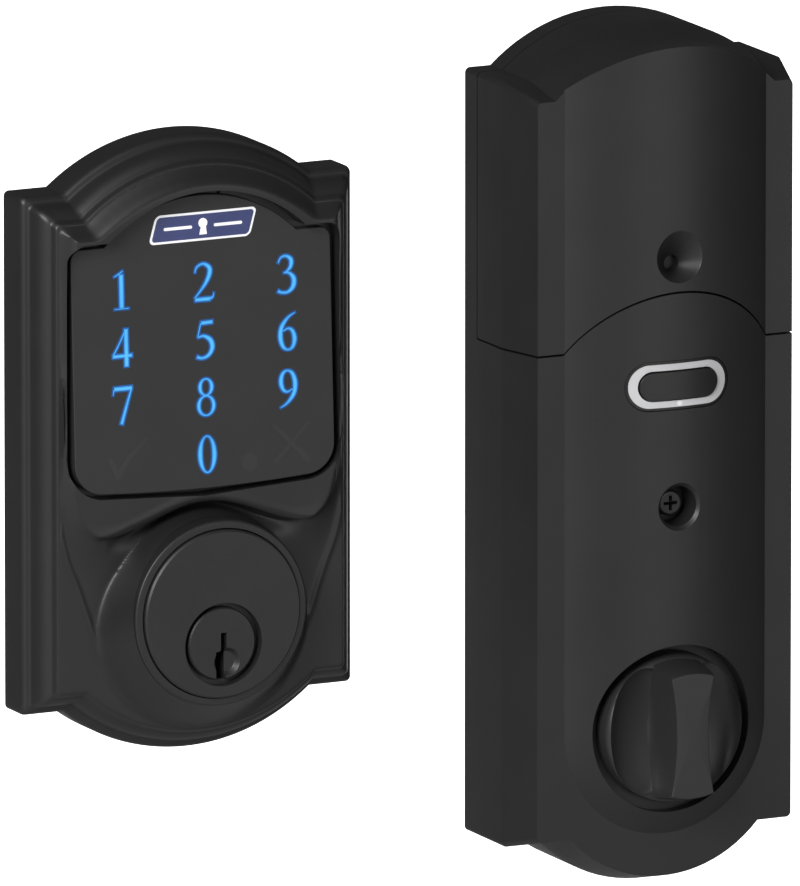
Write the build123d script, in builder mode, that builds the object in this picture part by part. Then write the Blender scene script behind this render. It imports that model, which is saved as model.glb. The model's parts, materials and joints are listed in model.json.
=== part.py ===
from build123d import *
import os
from math import atan2, cos, pi, radians, sin, sqrt, tan

# Keypad smart lock: the outside half with its touchscreen and key cylinder, and beside it the inside
# half with its batteries, motor and thumbturn. Millimetres. The origin is the centre of the outside
# half's bore collar, on the door face; +X is right, +Y goes into the door, +Z is up. A depth is the
# distance out from the door face, towards -Y.

os.makedirs("parts", exist_ok=True)

# --- Outside half ---
OUT_HALF_WIDTH = 41.0
OUT_SHOULDER = 95.1          # height of the square shoulders
OUT_LOW_SHOULDER = -23.2
OUT_ARCH_RISE = 11.0         # how far each arch stands past its shoulders
OUT_ARCH_RADIUS = 47.8
OUT_FACE_DEPTH = 16.1        # the flat field round the cylinder
OUT_LIP_DEPTH = 18.6         # the lip round the touchscreen
OUT_RIDGE = 5.4              # how far in from the edge the moulding ends
OUT_WALL = 2.6
BACKPLATE_THICK = 2.0
GASKET_THICK = 1.5

# --- Touchscreen ---
LENS_HALF_WIDTH = 32.1
LENS_SHOULDER = 83.5
LENS_APEX = 93.4
LENS_HALF_CHORD = 23.75
LENS_LOW = 28.4
LENS_BACK = 13.8
LENS_TILT = 2.7              # degrees the screen leans back
LENS_MIDDLE = 55.0           # height at which the lens front is at LENS_DEPTH
LENS_DEPTH = 17.3
LENS_GAP = 1.6
LEDGE_WIDTH = 1.9

# --- Key cylinder ---
CYLINDER_RADIUS = 19.15
CYLINDER_DEPTH = 27.6
CYLINDER_BACK = 3.5
PLUG_Z = -6.9                # the cam axis sits below the bore's centre
PLUG_RADIUS = 8.3
PLUG_FACE = 26.9
RUNNING = 0.05               # radial clearance of a running fit
CHAMBER_DEPTHS = (7.6, 11.6, 15.6, 19.6, 23.4)
CHAMBER_RADIUS = 1.5
COLLAR_RADIUS = 26.4
COLLAR_LENGTH = 8.0
POST_X = 19.0
POST_LENGTH = 25.0

# --- Inside half ---
IN_X = 108.4                 # centre of the inside half
TURN_Z = -35.0               # height of its thumbturn axis
IN_HALF_WIDTH = 34.9
IN_SHOULDER = 148.2          # heights on this half are measured from the thumbturn axis
IN_LOW_SHOULDER = -27.5
IN_ARCH_RISE = 11.0
IN_ARCH_RADIUS = 42.7
IN_LOW_RISE = 10.5
IN_LOW_RADIUS = 34.6
IN_SIDE_DEPTH = 19.0
IN_BORDER_DEPTH = 31.0
IN_BEVEL = 3.0
IN_WALL = 2.5
BARREL_HALF_WIDTH = 25.4
BARREL_RADIUS = 46.0
BARREL_DEPTH = 38.5
BARREL_APEX = 156.6
SEAM_SHOULDER = 86.9
SEAM_APEX = 100.3
COVER_BACK = 6.5
SEAM_GAP = 0.5


def out_plane(depth, x=0.0, z=0.0):
    """A sketch plane parallel to the door, looking out from it; its Y is the part's Z."""
    return Plane(origin=(x, -depth, z), x_dir=(1, 0, 0), z_dir=(0, -1, 0))


def in_plane(depth, x=0.0, z=0.0):
    """The same for the inside half, measured from its thumbturn axis."""
    return out_plane(depth, IN_X + x, TURN_Z + z)


def arched_face(half_width, top, top_rise, top_radius, low, low_rise, low_radius, corner):
    """A face with straight sides, square shoulders and an arch at each end."""
    top_chord = sqrt(top_radius**2 - (top_radius - top_rise) ** 2)
    low_chord = sqrt(low_radius**2 - (low_radius - low_rise) ** 2)
    with BuildSketch() as face:
        with BuildLine():
            Polyline((top_chord, top), (half_width, top), (half_width, low), (low_chord, low))
            ThreePointArc((low_chord, low), (0, low - low_rise), (-low_chord, low))
            Polyline((-low_chord, low), (-half_width, low), (-half_width, top), (-top_chord, top))
            ThreePointArc((-top_chord, top), (0, top + top_rise), (top_chord, top))
        make_face()
        corners = [v for v in face.vertices() if abs(v.X) > half_width - 0.1]
        fillet(corners, corner)
    return face.sketch


def out_face(inset, corner=1.2):
    """The outside half's outline, moved in by an inset."""
    return arched_face(
        OUT_HALF_WIDTH - inset, OUT_SHOULDER - inset, OUT_ARCH_RISE, OUT_ARCH_RADIUS - inset,
        OUT_LOW_SHOULDER + inset, OUT_ARCH_RISE, OUT_ARCH_RADIUS - inset, corner,
    )


def in_face(inset, corner=1.2):
    """The inside half's outline, moved in by an inset."""
    return arched_face(
        IN_HALF_WIDTH - inset, IN_SHOULDER - inset, IN_ARCH_RISE, IN_ARCH_RADIUS - inset,
        IN_LOW_SHOULDER + inset, IN_LOW_RISE, IN_LOW_RADIUS - inset, corner,
    )


def lens_face(margin):
    """The touchscreen's outline: arched above, gently bowed below, grown by a margin."""
    with BuildSketch() as face:
        with BuildLine():
            Polyline(
                (LENS_HALF_CHORD, LENS_SHOULDER), (LENS_HALF_WIDTH, LENS_SHOULDER),
                (LENS_HALF_WIDTH, LENS_LOW),
            )
            ThreePointArc(
                (LENS_HALF_WIDTH, LENS_LOW), (0, LENS_LOW - 1.4), (-LENS_HALF_WIDTH, LENS_LOW)
            )
            Polyline(
                (-LENS_HALF_WIDTH, LENS_LOW), (-LENS_HALF_WIDTH, LENS_SHOULDER),
                (-LENS_HALF_CHORD, LENS_SHOULDER),
            )
            ThreePointArc(
                (-LENS_HALF_CHORD, LENS_SHOULDER), (0, LENS_APEX), (LENS_HALF_CHORD, LENS_SHOULDER)
            )
        make_face()
        sides = face.vertices().filter_by(lambda v: abs(v.X) > LENS_HALF_WIDTH - 0.1)
        fillet(sides.group_by(Axis.Y)[0], 7.0)
        fillet(face.vertices().filter_by(lambda v: v.X > 32.0 and v.Y > 83.0), 2.5)
        fillet(face.vertices().filter_by(lambda v: v.X < -32.0 and v.Y > 83.0), 2.5)
        if margin:
            offset(amount=margin)
    return face.sketch


OUT_SECTIONS = (            # inset and depth of the moulding: a round, then a cove
    (0, 0), (0, 7.4), (0.5, 9.2), (2.2, 10.7), (4.0, 12.8), (4.9, 14.8), (OUT_RIDGE, OUT_FACE_DEPTH),
)
LEDGE_DEPTH = 12.0
GUARD_RADIUS = 21.2
CONE_RADIUS = 28.6
GUARD_SEAT = 21.0
GUARD_DEPTH = 26.5
BORE_RADIUS = CYLINDER_RADIUS + 0.15
PLATE_SCREWS = ((-30.5, 87), (30.5, 87), (-30.5, -13), (30.5, -13))
PLATE_TOP = GASKET_THICK + BACKPLATE_THICK
BOARD_SCREWS = ((-31.6, 32), (31.6, 32), (-31.6, 78), (31.6, 78))
KEY_COLUMN = 20.4
KEY_ROWS = (73.8, 60.8, 47.9, 34.9)
CYLINDER_SCREWS = ((-12.5, 8.0), (12.5, 8.0))


# --- escutcheon: the cast outside housing ---
with BuildPart() as escutcheon:
    for inset, depth in OUT_SECTIONS:
        with BuildSketch(out_plane(depth)):
            add(out_face(inset))
    loft(ruled=True)
    # the lip that frames the touchscreen, its lower edge waved over the cylinder
    with BuildSketch(out_plane(OUT_FACE_DEPTH - 0.2)):
        add(out_face(OUT_RIDGE + 1.4))
        with BuildSketch(mode=Mode.INTERSECT):
            with BuildLine():
                Polyline((-26, 17.5), (-34, 26), (-34, 110), (34, 110), (34, 26), (26, 17.5))
                ThreePointArc((26, 17.5), (0, 23.2), (-26, 17.5))
            make_face()
    extrude(amount=OUT_LIP_DEPTH - OUT_FACE_DEPTH + 0.2)
    # the cone that carries the cylinder's guard ring, cut back where the lip passes over it
    with BuildSketch(out_plane(OUT_FACE_DEPTH - 0.3)):
        Circle(CONE_RADIUS)
    with BuildSketch(out_plane(GUARD_DEPTH - 1.1)):
        Circle(GUARD_RADIUS + 0.7)
    loft()
    with BuildSketch(out_plane(OUT_LIP_DEPTH)):
        with Locations((0, 40)):
            Rectangle(80, 33.2)
    extrude(amount=8, mode=Mode.SUBTRACT)
    # the hollow inside, stepped to follow the moulding
    for inset, start, stop in ((OUT_WALL, 0, 8.0), (5.0, 7.9, 10.5), (7.4, 10.4, LEDGE_DEPTH)):
        with BuildSketch(out_plane(start)):
            add(out_face(inset))
        extrude(amount=stop - start, mode=Mode.SUBTRACT)
    # the window: a ledge for the touchscreen and its opening
    with BuildSketch(out_plane(LEDGE_DEPTH - 0.1)):
        add(lens_face(-LEDGE_WIDTH))
    extrude(amount=LENS_BACK - LEDGE_DEPTH + 0.2, mode=Mode.SUBTRACT)
    with BuildSketch(out_plane(LENS_BACK)):
        add(lens_face(LENS_GAP))
    extrude(amount=8, mode=Mode.SUBTRACT)
    # the tube round the cylinder and the bosses for the backplate's screws
    with BuildSketch(out_plane(PLATE_TOP)):
        Circle(22.6)
        with Locations(*PLATE_SCREWS):
            Circle(3.6)
    extrude(amount=LEDGE_DEPTH - PLATE_TOP + 0.1)
    with BuildSketch(out_plane(0)):
        Circle(BORE_RADIUS)
    extrude(amount=GUARD_SEAT, mode=Mode.SUBTRACT)
    with BuildSketch(out_plane(GUARD_SEAT)):
        Circle(GUARD_RADIUS)
    extrude(amount=10, mode=Mode.SUBTRACT)
    with BuildSketch(out_plane(PLATE_TOP)):
        with Locations(*PLATE_SCREWS):
            Circle(1.25)
    extrude(amount=7.0, mode=Mode.SUBTRACT)
    with BuildSketch(out_plane(LEDGE_DEPTH)):
        with Locations(*BOARD_SCREWS):
            Circle(0.8)
    extrude(amount=1.2, mode=Mode.SUBTRACT)
escutcheon.part.label = "escutcheon"
export_step(escutcheon.part, "parts/escutcheon.step")

# --- door gasket: a foam ring behind the escutcheon's edge ---
with BuildPart() as door_gasket:
    with BuildSketch(out_plane(0)):
        add(out_face(OUT_WALL + 0.1))
        add(out_face(OUT_WALL + 2.4), mode=Mode.SUBTRACT)
    extrude(amount=GASKET_THICK)
door_gasket.part.label = "door_gasket"
export_step(door_gasket.part, "parts/door_gasket.step")

# --- backplate: a steel plate with the collar that fits the door's cross bore ---
with BuildPart() as escutcheon_backplate:
    with BuildSketch(out_plane(GASKET_THICK)):
        add(out_face(OUT_WALL + 0.1))
        with Locations((0, PLUG_Z)):
            Circle(10.4, mode=Mode.SUBTRACT)
        with Locations((0, 14.5)):
            RectangleRounded(14, 7, 2, mode=Mode.SUBTRACT)
        with Locations(*PLATE_SCREWS):
            Circle(1.6, mode=Mode.SUBTRACT)
        with Locations(*CYLINDER_SCREWS):
            Circle(1.75, mode=Mode.SUBTRACT)
        with Locations((-POST_X, 0), (POST_X, 0)):
            Circle(2.5, mode=Mode.SUBTRACT)
    extrude(amount=BACKPLATE_THICK)
    with BuildSketch(out_plane(-COLLAR_LENGTH)):
        Circle(COLLAR_RADIUS)
        Circle(COLLAR_RADIUS - 2.0, mode=Mode.SUBTRACT)
    extrude(amount=COLLAR_LENGTH + GASKET_THICK)
escutcheon_backplate.part.label = "escutcheon_backplate"
export_step(escutcheon_backplate.part, "parts/escutcheon_backplate.step")

# --- mounting posts: two tapped posts riveted into the backplate ---
with BuildPart() as mounting_posts:
    with BuildSketch(out_plane(-POST_LENGTH)):
        with Locations((-POST_X, 0), (POST_X, 0)):
            Circle(4.0)
    extrude(amount=POST_LENGTH + GASKET_THICK)
    with BuildSketch(out_plane(GASKET_THICK)):
        with Locations((-POST_X, 0), (POST_X, 0)):
            Circle(2.5)
    extrude(amount=BACKPLATE_THICK)
    with BuildSketch(out_plane(-POST_LENGTH)):
        with Locations((-POST_X, 0), (POST_X, 0)):
            Circle(2.1)
    extrude(amount=20, mode=Mode.SUBTRACT)
mounting_posts.part.label = "mounting_posts"
export_step(mounting_posts.part, "parts/mounting_posts.step")

# --- backplate screws: four pan heads into the escutcheon's bosses ---
with BuildPart() as backplate_screws:
    with BuildSketch(out_plane(0.2)):
        with Locations(*PLATE_SCREWS):
            Circle(2.6)
    extrude(amount=GASKET_THICK - 0.2)
    with BuildSketch(out_plane(GASKET_THICK)):
        with Locations(*PLATE_SCREWS):
            Circle(1.25)
    extrude(amount=7.5)
backplate_screws.part.label = "backplate_screws"
export_step(backplate_screws.part, "parts/backplate_screws.step")

# --- touchscreen lens: a plate whose front leans back ---
screen_front = Plane(
    origin=(0, -LENS_DEPTH, LENS_MIDDLE),
    x_dir=(1, 0, 0),
    z_dir=(0, -cos(radians(LENS_TILT)), sin(radians(LENS_TILT))),
)
with BuildPart() as touchscreen_lens:
    with BuildSketch(out_plane(LENS_BACK)):
        add(lens_face(0))
    extrude(amount=8)
    split(bisect_by=screen_front, keep=Keep.BOTTOM)
touchscreen_lens.part.label = "touchscreen_lens"
export_step(touchscreen_lens.part, "parts/touchscreen_lens.step")

# --- light guide: spreads each lamp's light under its number ---
with BuildPart() as key_light_guide:
    with BuildSketch(out_plane(LEDGE_DEPTH)):
        with Locations((0, 55.0)):
            RectangleRounded(56, 49, 3)
    extrude(amount=LENS_BACK - LEDGE_DEPTH)
    with BuildSketch(out_plane(LEDGE_DEPTH)):
        with Locations(*[(x, z) for x in (-KEY_COLUMN, 0, KEY_COLUMN) for z in KEY_ROWS]):
            Rectangle(3.0, 2.4)
    extrude(amount=1.0, mode=Mode.SUBTRACT)
key_light_guide.part.label = "key_light_guide"
export_step(key_light_guide.part, "parts/key_light_guide.step")

# --- keypad lamps: one under each number ---
with BuildPart() as keypad_lamps:
    with BuildSketch(out_plane(LEDGE_DEPTH)):
        with Locations(*[(x, z) for x in (-KEY_COLUMN, 0, KEY_COLUMN) for z in KEY_ROWS]):
            Rectangle(2.0, 1.4)
    extrude(amount=0.8)
keypad_lamps.part.label = "keypad_lamps"
export_step(keypad_lamps.part, "parts/keypad_lamps.step")

# --- keypad board, under the ledge ---
BOARD_BACK = LEDGE_DEPTH - 1.6
with BuildPart() as keypad_circuit_board:
    with BuildSketch(out_plane(BOARD_BACK)):
        with Locations((0, 55.5)):
            RectangleRounded(66, 55, 1.5)
        with Locations(*BOARD_SCREWS):
            Circle(0.9, mode=Mode.SUBTRACT)
    extrude(amount=LEDGE_DEPTH - BOARD_BACK)
keypad_circuit_board.part.label = "keypad_circuit_board"
export_step(keypad_circuit_board.part, "parts/keypad_circuit_board.step")

with BuildPart() as keypad_board_screws:
    with BuildSketch(out_plane(BOARD_BACK - 1.0)):
        with Locations(*BOARD_SCREWS):
            Circle(1.6)
    extrude(amount=1.0)
    with BuildSketch(out_plane(BOARD_BACK)):
        with Locations(*BOARD_SCREWS):
            Circle(0.8)
    extrude(amount=2.6)
keypad_board_screws.part.label = "keypad_board_screws"
export_step(keypad_board_screws.part, "parts/keypad_board_screws.step")

with BuildPart() as keypad_controller:
    with BuildSketch(out_plane(BOARD_BACK - 1.2)):
        with Locations((-14, 60)):
            Rectangle(10, 10)
    extrude(amount=1.2)
keypad_controller.part.label = "keypad_controller"
export_step(keypad_controller.part, "parts/keypad_controller.step")

with BuildPart() as keypad_beeper:
    with BuildSketch(out_plane(BOARD_BACK - 3.8)):
        with Locations((16, 64)):
            Circle(5.5)
    extrude(amount=3.8)
    with BuildSketch(out_plane(BOARD_BACK - 3.8)):
        with Locations((16, 64)):
            Circle(1.2)
    extrude(amount=1.5, mode=Mode.SUBTRACT)
keypad_beeper.part.label = "keypad_beeper"
export_step(keypad_beeper.part, "parts/keypad_beeper.step")

with BuildPart() as keypad_cable_socket:
    with BuildSketch(out_plane(BOARD_BACK - 5.2)):
        with Locations((0, 33)):
            Rectangle(12, 6)
    extrude(amount=5.2)
    with BuildSketch(out_plane(BOARD_BACK - 5.2)):
        with Locations((0, 33)):
            Rectangle(9.6, 3.6)
    extrude(amount=4.0, mode=Mode.SUBTRACT)
keypad_cable_socket.part.label = "keypad_cable_socket"
export_step(keypad_cable_socket.part, "parts/keypad_cable_socket.step")

# --- guard ring: hardened steel round the cylinder's mouth ---
with BuildPart() as cylinder_guard_ring:
    with BuildSketch(out_plane(GUARD_SEAT)):
        Circle(GUARD_RADIUS)
        Circle(BORE_RADIUS + 0.15, mode=Mode.SUBTRACT)
    extrude(amount=GUARD_DEPTH - GUARD_SEAT)
    rims = cylinder_guard_ring.edges().filter_by(GeomType.CIRCLE).group_by(Axis.Y)[0]
    fillet(rims.sort_by(SortBy.RADIUS)[-1], 0.5)
cylinder_guard_ring.part.label = "cylinder_guard_ring"
export_step(cylinder_guard_ring.part, "parts/cylinder_guard_ring.step")

# --- cylinder body, with its plug bore low and its pin chambers above ---
CHAMBER_TOP = 14.5
COVER_WIDTH = 3.4
with BuildPart() as cylinder_body:
    with BuildSketch(out_plane(CYLINDER_BACK)):
        Circle(CYLINDER_RADIUS)
    extrude(amount=CYLINDER_DEPTH - CYLINDER_BACK)
    chamfer(cylinder_body.edges().group_by(Axis.Y)[0], 0.4)
    with BuildSketch(out_plane(CYLINDER_BACK)):
        with Locations((0, PLUG_Z)):
            Circle(PLUG_RADIUS + RUNNING)
    extrude(amount=40, mode=Mode.SUBTRACT)
    with BuildSketch(out_plane(CYLINDER_DEPTH)):
        with Locations((0, PLUG_Z)):
            Circle(9.5)
    extrude(amount=-2.6, mode=Mode.SUBTRACT)
    with BuildSketch(Plane.XY.offset(PLUG_Z + 7)):
        with Locations(*[(0, -depth) for depth in CHAMBER_DEPTHS]):
            Circle(CHAMBER_RADIUS)
    extrude(amount=CHAMBER_TOP - PLUG_Z - 7, mode=Mode.SUBTRACT)
    with BuildSketch(Plane.XY.offset(CHAMBER_TOP)):
        with Locations((0, -15.5)):
            Rectangle(COVER_WIDTH, 20)
    extrude(amount=6, mode=Mode.SUBTRACT)
    with BuildSketch(out_plane(CYLINDER_BACK)):
        with Locations(*CYLINDER_SCREWS):
            Circle(1.75)
    extrude(amount=9, mode=Mode.SUBTRACT)
cylinder_body.part.label = "cylinder_body"
export_step(cylinder_body.part, "parts/cylinder_body.step")

with BuildPart() as cylinder_screws:
    with BuildSketch(out_plane(0.2)):
        with Locations(*CYLINDER_SCREWS):
            Circle(3.0)
    extrude(amount=GASKET_THICK - 0.2)
    with BuildSketch(out_plane(GASKET_THICK)):
        with Locations(*CYLINDER_SCREWS):
            Circle(1.75)
    extrude(amount=10)
cylinder_screws.part.label = "cylinder_screws"
export_step(cylinder_screws.part, "parts/cylinder_screws.step")

with BuildPart() as pin_chamber_cover:
    with BuildSketch(Plane.XY.offset(CHAMBER_TOP)):
        with Locations((0, -15.5)):
            Rectangle(COVER_WIDTH, 20)
    extrude(amount=1.6)
pin_chamber_cover.part.label = "pin_chamber_cover"
export_step(pin_chamber_cover.part, "parts/pin_chamber_cover.step")

# --- plug: turns with the key; its keyway has a straight top and a bent lower part ---
PLUG_BACK = 1.9
KEYWAY_X = 0.4
with BuildPart() as cylinder_plug:
    with BuildSketch(out_plane(PLUG_BACK)):
        with Locations((0, PLUG_Z)):
            Circle(PLUG_RADIUS)
    extrude(amount=PLUG_FACE - PLUG_BACK)
    chamfer(cylinder_plug.edges().group_by(Axis.Y)[0], 0.35)
    with BuildSketch(out_plane(4.5)):
        with Locations((KEYWAY_X, PLUG_Z + 0.25)):
            Rectangle(1.4, 4.5)
        with Locations((KEYWAY_X - 0.7, PLUG_Z - 5.4)):
            Rectangle(2.4, 7.2)
    extrude(amount=30, mode=Mode.SUBTRACT)
    with BuildSketch(out_plane(PLUG_FACE)):
        with Locations((1.2, PLUG_Z - 4.2)):
            Circle(3.2)
    extrude(amount=-1.1, taper=40, mode=Mode.SUBTRACT)
    with BuildSketch(Plane.XY.offset(PLUG_Z + 2.4)):
        with Locations(*[(0, -depth) for depth in CHAMBER_DEPTHS]):
            Circle(CHAMBER_RADIUS)
    extrude(amount=8, mode=Mode.SUBTRACT)
cylinder_plug.part.label = "cylinder_plug"
export_step(cylinder_plug.part, "parts/cylinder_plug.step")

# --- pins: the key pins stop at the plug's surface, the driver pins just above it ---
with BuildPart() as key_pins:
    with BuildSketch(Plane.XY.offset(PLUG_Z + 2.6)):
        with Locations(*[(0, -depth) for depth in CHAMBER_DEPTHS]):
            Circle(CHAMBER_RADIUS - RUNNING)
    extrude(amount=PLUG_RADIUS - 2.6 - 0.2)
key_pins.part.label = "key_pins"
export_step(key_pins.part, "parts/key_pins.step")

DRIVER_LOW = PLUG_Z + PLUG_RADIUS + RUNNING
DRIVER_HIGH = 6.6
with BuildPart() as driver_pins:
    with BuildSketch(Plane.XY.offset(DRIVER_LOW)):
        with Locations(*[(0, -depth) for depth in CHAMBER_DEPTHS]):
            Circle(CHAMBER_RADIUS - RUNNING)
    extrude(amount=DRIVER_HIGH - DRIVER_LOW)
driver_pins.part.label = "driver_pins"
export_step(driver_pins.part, "parts/driver_pins.step")

with BuildPart() as pin_springs:
    with BuildSketch(Plane.XY.offset(DRIVER_HIGH)):
        with Locations(*[(0, -depth) for depth in CHAMBER_DEPTHS]):
            Circle(CHAMBER_RADIUS - RUNNING)
            Circle(CHAMBER_RADIUS - 0.45, mode=Mode.SUBTRACT)
    extrude(amount=CHAMBER_TOP - DRIVER_HIGH)
pin_springs.part.label = "pin_springs"
export_step(pin_springs.part, "parts/pin_springs.step")

# --- plug cap and tailpiece, at the plug's back ---
TAIL_WIDE = 8.0
TAIL_THICK = 2.4
TAIL_END = 58.0
with BuildPart() as plug_cap:
    with BuildSketch(out_plane(0.4)):
        with Locations((0, PLUG_Z)):
            Circle(9.6)
    extrude(amount=2.7)
    with BuildSketch(out_plane(PLUG_BACK)):
        with Locations((0, PLUG_Z)):
            Circle(PLUG_RADIUS)
    extrude(amount=5, mode=Mode.SUBTRACT)
    with BuildSketch(out_plane(0)):
        with Locations((0, PLUG_Z)):
            Rectangle(TAIL_THICK, TAIL_WIDE)
    extrude(amount=5, mode=Mode.SUBTRACT)
plug_cap.part.label = "plug_cap"
export_step(plug_cap.part, "parts/plug_cap.step")

with BuildPart() as tailpiece:
    with BuildSketch(out_plane(-TAIL_END)):
        with Locations((0, PLUG_Z)):
            Rectangle(TAIL_THICK, TAIL_WIDE)
    extrude(amount=TAIL_END + PLUG_BACK)
    chamfer(tailpiece.edges().group_by(Axis.Y)[-1], 0.5)
tailpiece.part.label = "tailpiece"
export_step(tailpiece.part, "parts/tailpiece.step")


# === Inside half ===
BARREL_AXIS = BARREL_DEPTH - BARREL_RADIUS
BARREL_TOP_RADIUS = 40.1
BARREL_TOP_CENTRE = BARREL_APEX - BARREL_TOP_RADIUS
BUTTON_Z = 79.4
SCREW_Z = 51.4
SOUND_Z = 108.7
SOUND_HOLE_Z = SOUND_Z - 2.2  # the funnel narrows downwards
RECESS_RADIUS = 19.65
RECESS_FLOOR = 31.0
CUP_BACK = 28.6
CUP_RADIUS = 22.1
BOLT_Z = -PLUG_Z             # the bolts stand level with the bore's centre
HUB_RADIUS = 6.5
SPINDLE_RADIUS = 5.0


def barrel_solid(inset):
    """The bowed middle of the front: upright above the thumbturn, turned round it below."""
    half = BARREL_HALF_WIDTH - inset
    radius = BARREL_RADIUS - inset
    front = BARREL_AXIS + radius
    edge = BARREL_AXIS + sqrt(radius**2 - half**2)
    with BuildPart() as barrel:
        with BuildSketch(Plane(origin=(IN_X, 0, TURN_Z))):
            with BuildLine():
                Polyline((-half, -edge), (-half, -10), (half, -10), (half, -edge))
                ThreePointArc((half, -edge), (0, -front), (-half, -edge))
            make_face()
        extrude(amount=BARREL_APEX)
        with BuildSketch(Plane(origin=(IN_X, 0, TURN_Z))):
            with BuildLine():
                bend = half / 2
                bend_depth = BARREL_AXIS + sqrt(radius**2 - bend**2)
                Polyline((0, -front), (0, -10), (half, -10), (half, -edge))
                ThreePointArc((half, -edge), (bend, -bend_depth), (0, -front))
            make_face()
        revolve(axis=Axis((IN_X, 0, TURN_Z), (0, 1, 0)))
        with BuildSketch(in_plane(5)):
            Circle(half)
            with Locations((0, BARREL_TOP_CENTRE / 2)):
                Rectangle(2 * half, BARREL_TOP_CENTRE)
            with Locations((0, BARREL_TOP_CENTRE)):
                Circle(BARREL_TOP_RADIUS - inset)
        extrude(amount=60, mode=Mode.INTERSECT)
    return barrel.part


def inside_solid(inset):
    """The inside half's whole form, moved in by an inset on every side but the back."""
    with BuildPart() as solid:
        for bevel, depth in ((0, 0), (0, IN_SIDE_DEPTH), (IN_BEVEL, IN_BORDER_DEPTH - inset)):
            with BuildSketch(in_plane(depth)):
                add(in_face(inset + bevel))
        loft(ruled=True)
        add(barrel_solid(inset))
    return solid.part


def cover_region(raised):
    """Everything above the seam between the housing and the battery cover."""
    with BuildSketch() as region:
        with BuildLine():
            Polyline(
                (25.3, SEAM_SHOULDER + raised), (40, SEAM_SHOULDER + raised), (40, 170), (-40, 170),
                (-40, SEAM_SHOULDER + raised), (-25.3, SEAM_SHOULDER + raised),
            )
            ThreePointArc(
                (-25.3, SEAM_SHOULDER + raised), (0, SEAM_APEX + raised),
                (25.3, SEAM_SHOULDER + raised),
            )
        make_face()
    return region.sketch


# --- housing bosses: the thumbturn's cup, the screw's well and the sensor's post ---
with BuildPart() as bosses:
    with BuildSketch(in_plane(CUP_BACK)):
        Circle(CUP_RADIUS)
        with Locations((0, SCREW_Z)):
            Circle(6.6)
    extrude(amount=12)
    with BuildSketch(in_plane(26)):
        Circle(HUB_RADIUS + 2.0)
    extrude(amount=5)
    with BuildSketch(in_plane(17.4)):
        with Locations((0, -14)):
            Circle(2.5)
    extrude(amount=12)
    add(inside_solid(0), mode=Mode.INTERSECT)

# --- housing: the lower shell, with a low rim that runs up behind the battery cover ---
with BuildPart() as inside_housing:
    add(inside_solid(0))
    add(inside_solid(IN_WALL), mode=Mode.SUBTRACT)
    with BuildSketch(in_plane(COVER_BACK - SEAM_GAP)):
        add(cover_region(0))
    extrude(amount=50, mode=Mode.SUBTRACT)
    add(bosses.part)
    with BuildSketch(in_plane(RECESS_FLOOR)):
        Circle(RECESS_RADIUS)
        with Locations((0, SCREW_Z)):
            Circle(4.6)
    extrude(amount=20, mode=Mode.SUBTRACT)
    with BuildSketch(in_plane(BARREL_DEPTH)):
        with Locations((0, SCREW_Z)):
            Circle(5.5)
    extrude(amount=-1.0, taper=42, mode=Mode.SUBTRACT)
    with BuildSketch(in_plane(20)):
        Circle(HUB_RADIUS)
        with Locations((0, SCREW_Z)):
            Circle(1.8)
    extrude(amount=15, mode=Mode.SUBTRACT)
    with BuildSketch(in_plane(25)):
        with Locations((0, BUTTON_Z)):
            RectangleRounded(26, 11.4, 5.69)
    extrude(amount=20, mode=Mode.SUBTRACT)
inside_housing.part.label = "inside_housing"
export_step(inside_housing.part, "parts/inside_housing.step")

# --- battery cover: slides up off the housing; a funnel lets the alarm's sound out ---
with BuildPart() as battery_cover:
    add(inside_solid(0))
    add(inside_solid(IN_WALL), mode=Mode.SUBTRACT)
    with BuildSketch(in_plane(33.2)):
        with Locations((0, SOUND_Z)):
            Circle(7.5)
    extrude(amount=4.0)
    with BuildSketch(in_plane(COVER_BACK)):
        add(cover_region(SEAM_GAP))
    extrude(amount=50, mode=Mode.INTERSECT)
    with BuildSketch(in_plane(BARREL_DEPTH)):
        with Locations((0, SOUND_Z)):
            Circle(6.0)
    with BuildSketch(in_plane(33.8)):
        with Locations((0, SOUND_HOLE_Z)):
            Circle(1.8)
    loft(mode=Mode.SUBTRACT)
    with BuildSketch(in_plane(30)):
        with Locations((0, SOUND_HOLE_Z)):
            Circle(1.8)
    extrude(amount=4, mode=Mode.SUBTRACT)
battery_cover.part.label = "battery_cover"
export_step(battery_cover.part, "parts/battery_cover.step")

with BuildPart() as alarm_sounder:
    with BuildSketch(in_plane(28.4)):
        with Locations((0, SOUND_Z)):
            Circle(8.0)
    extrude(amount=33.2 - 28.4)
    with BuildSketch(in_plane(33.2)):
        with Locations((0, SOUND_HOLE_Z)):
            Circle(1.8)
    extrude(amount=-1.5, mode=Mode.SUBTRACT)
alarm_sounder.part.label = "alarm_sounder"
export_step(alarm_sounder.part, "parts/alarm_sounder.step")

# --- support plate: bolted to the door, it carries everything on the inside ---
SUPPORT_THICK = 2.0
with BuildPart() as support_plate:
    with BuildSketch(in_plane(0)):
        add(in_face(IN_WALL + 0.15))
        Circle(9.0, mode=Mode.SUBTRACT)
        with Locations((-POST_X, BOLT_Z), (POST_X, BOLT_Z)):
            Circle(2.7, mode=Mode.SUBTRACT)
        with Locations((0, 21.5)):
            RectangleRounded(14, 7, 2, mode=Mode.SUBTRACT)
    extrude(amount=SUPPORT_THICK)
support_plate.part.label = "support_plate"
export_step(support_plate.part, "parts/support_plate.step")

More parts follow.
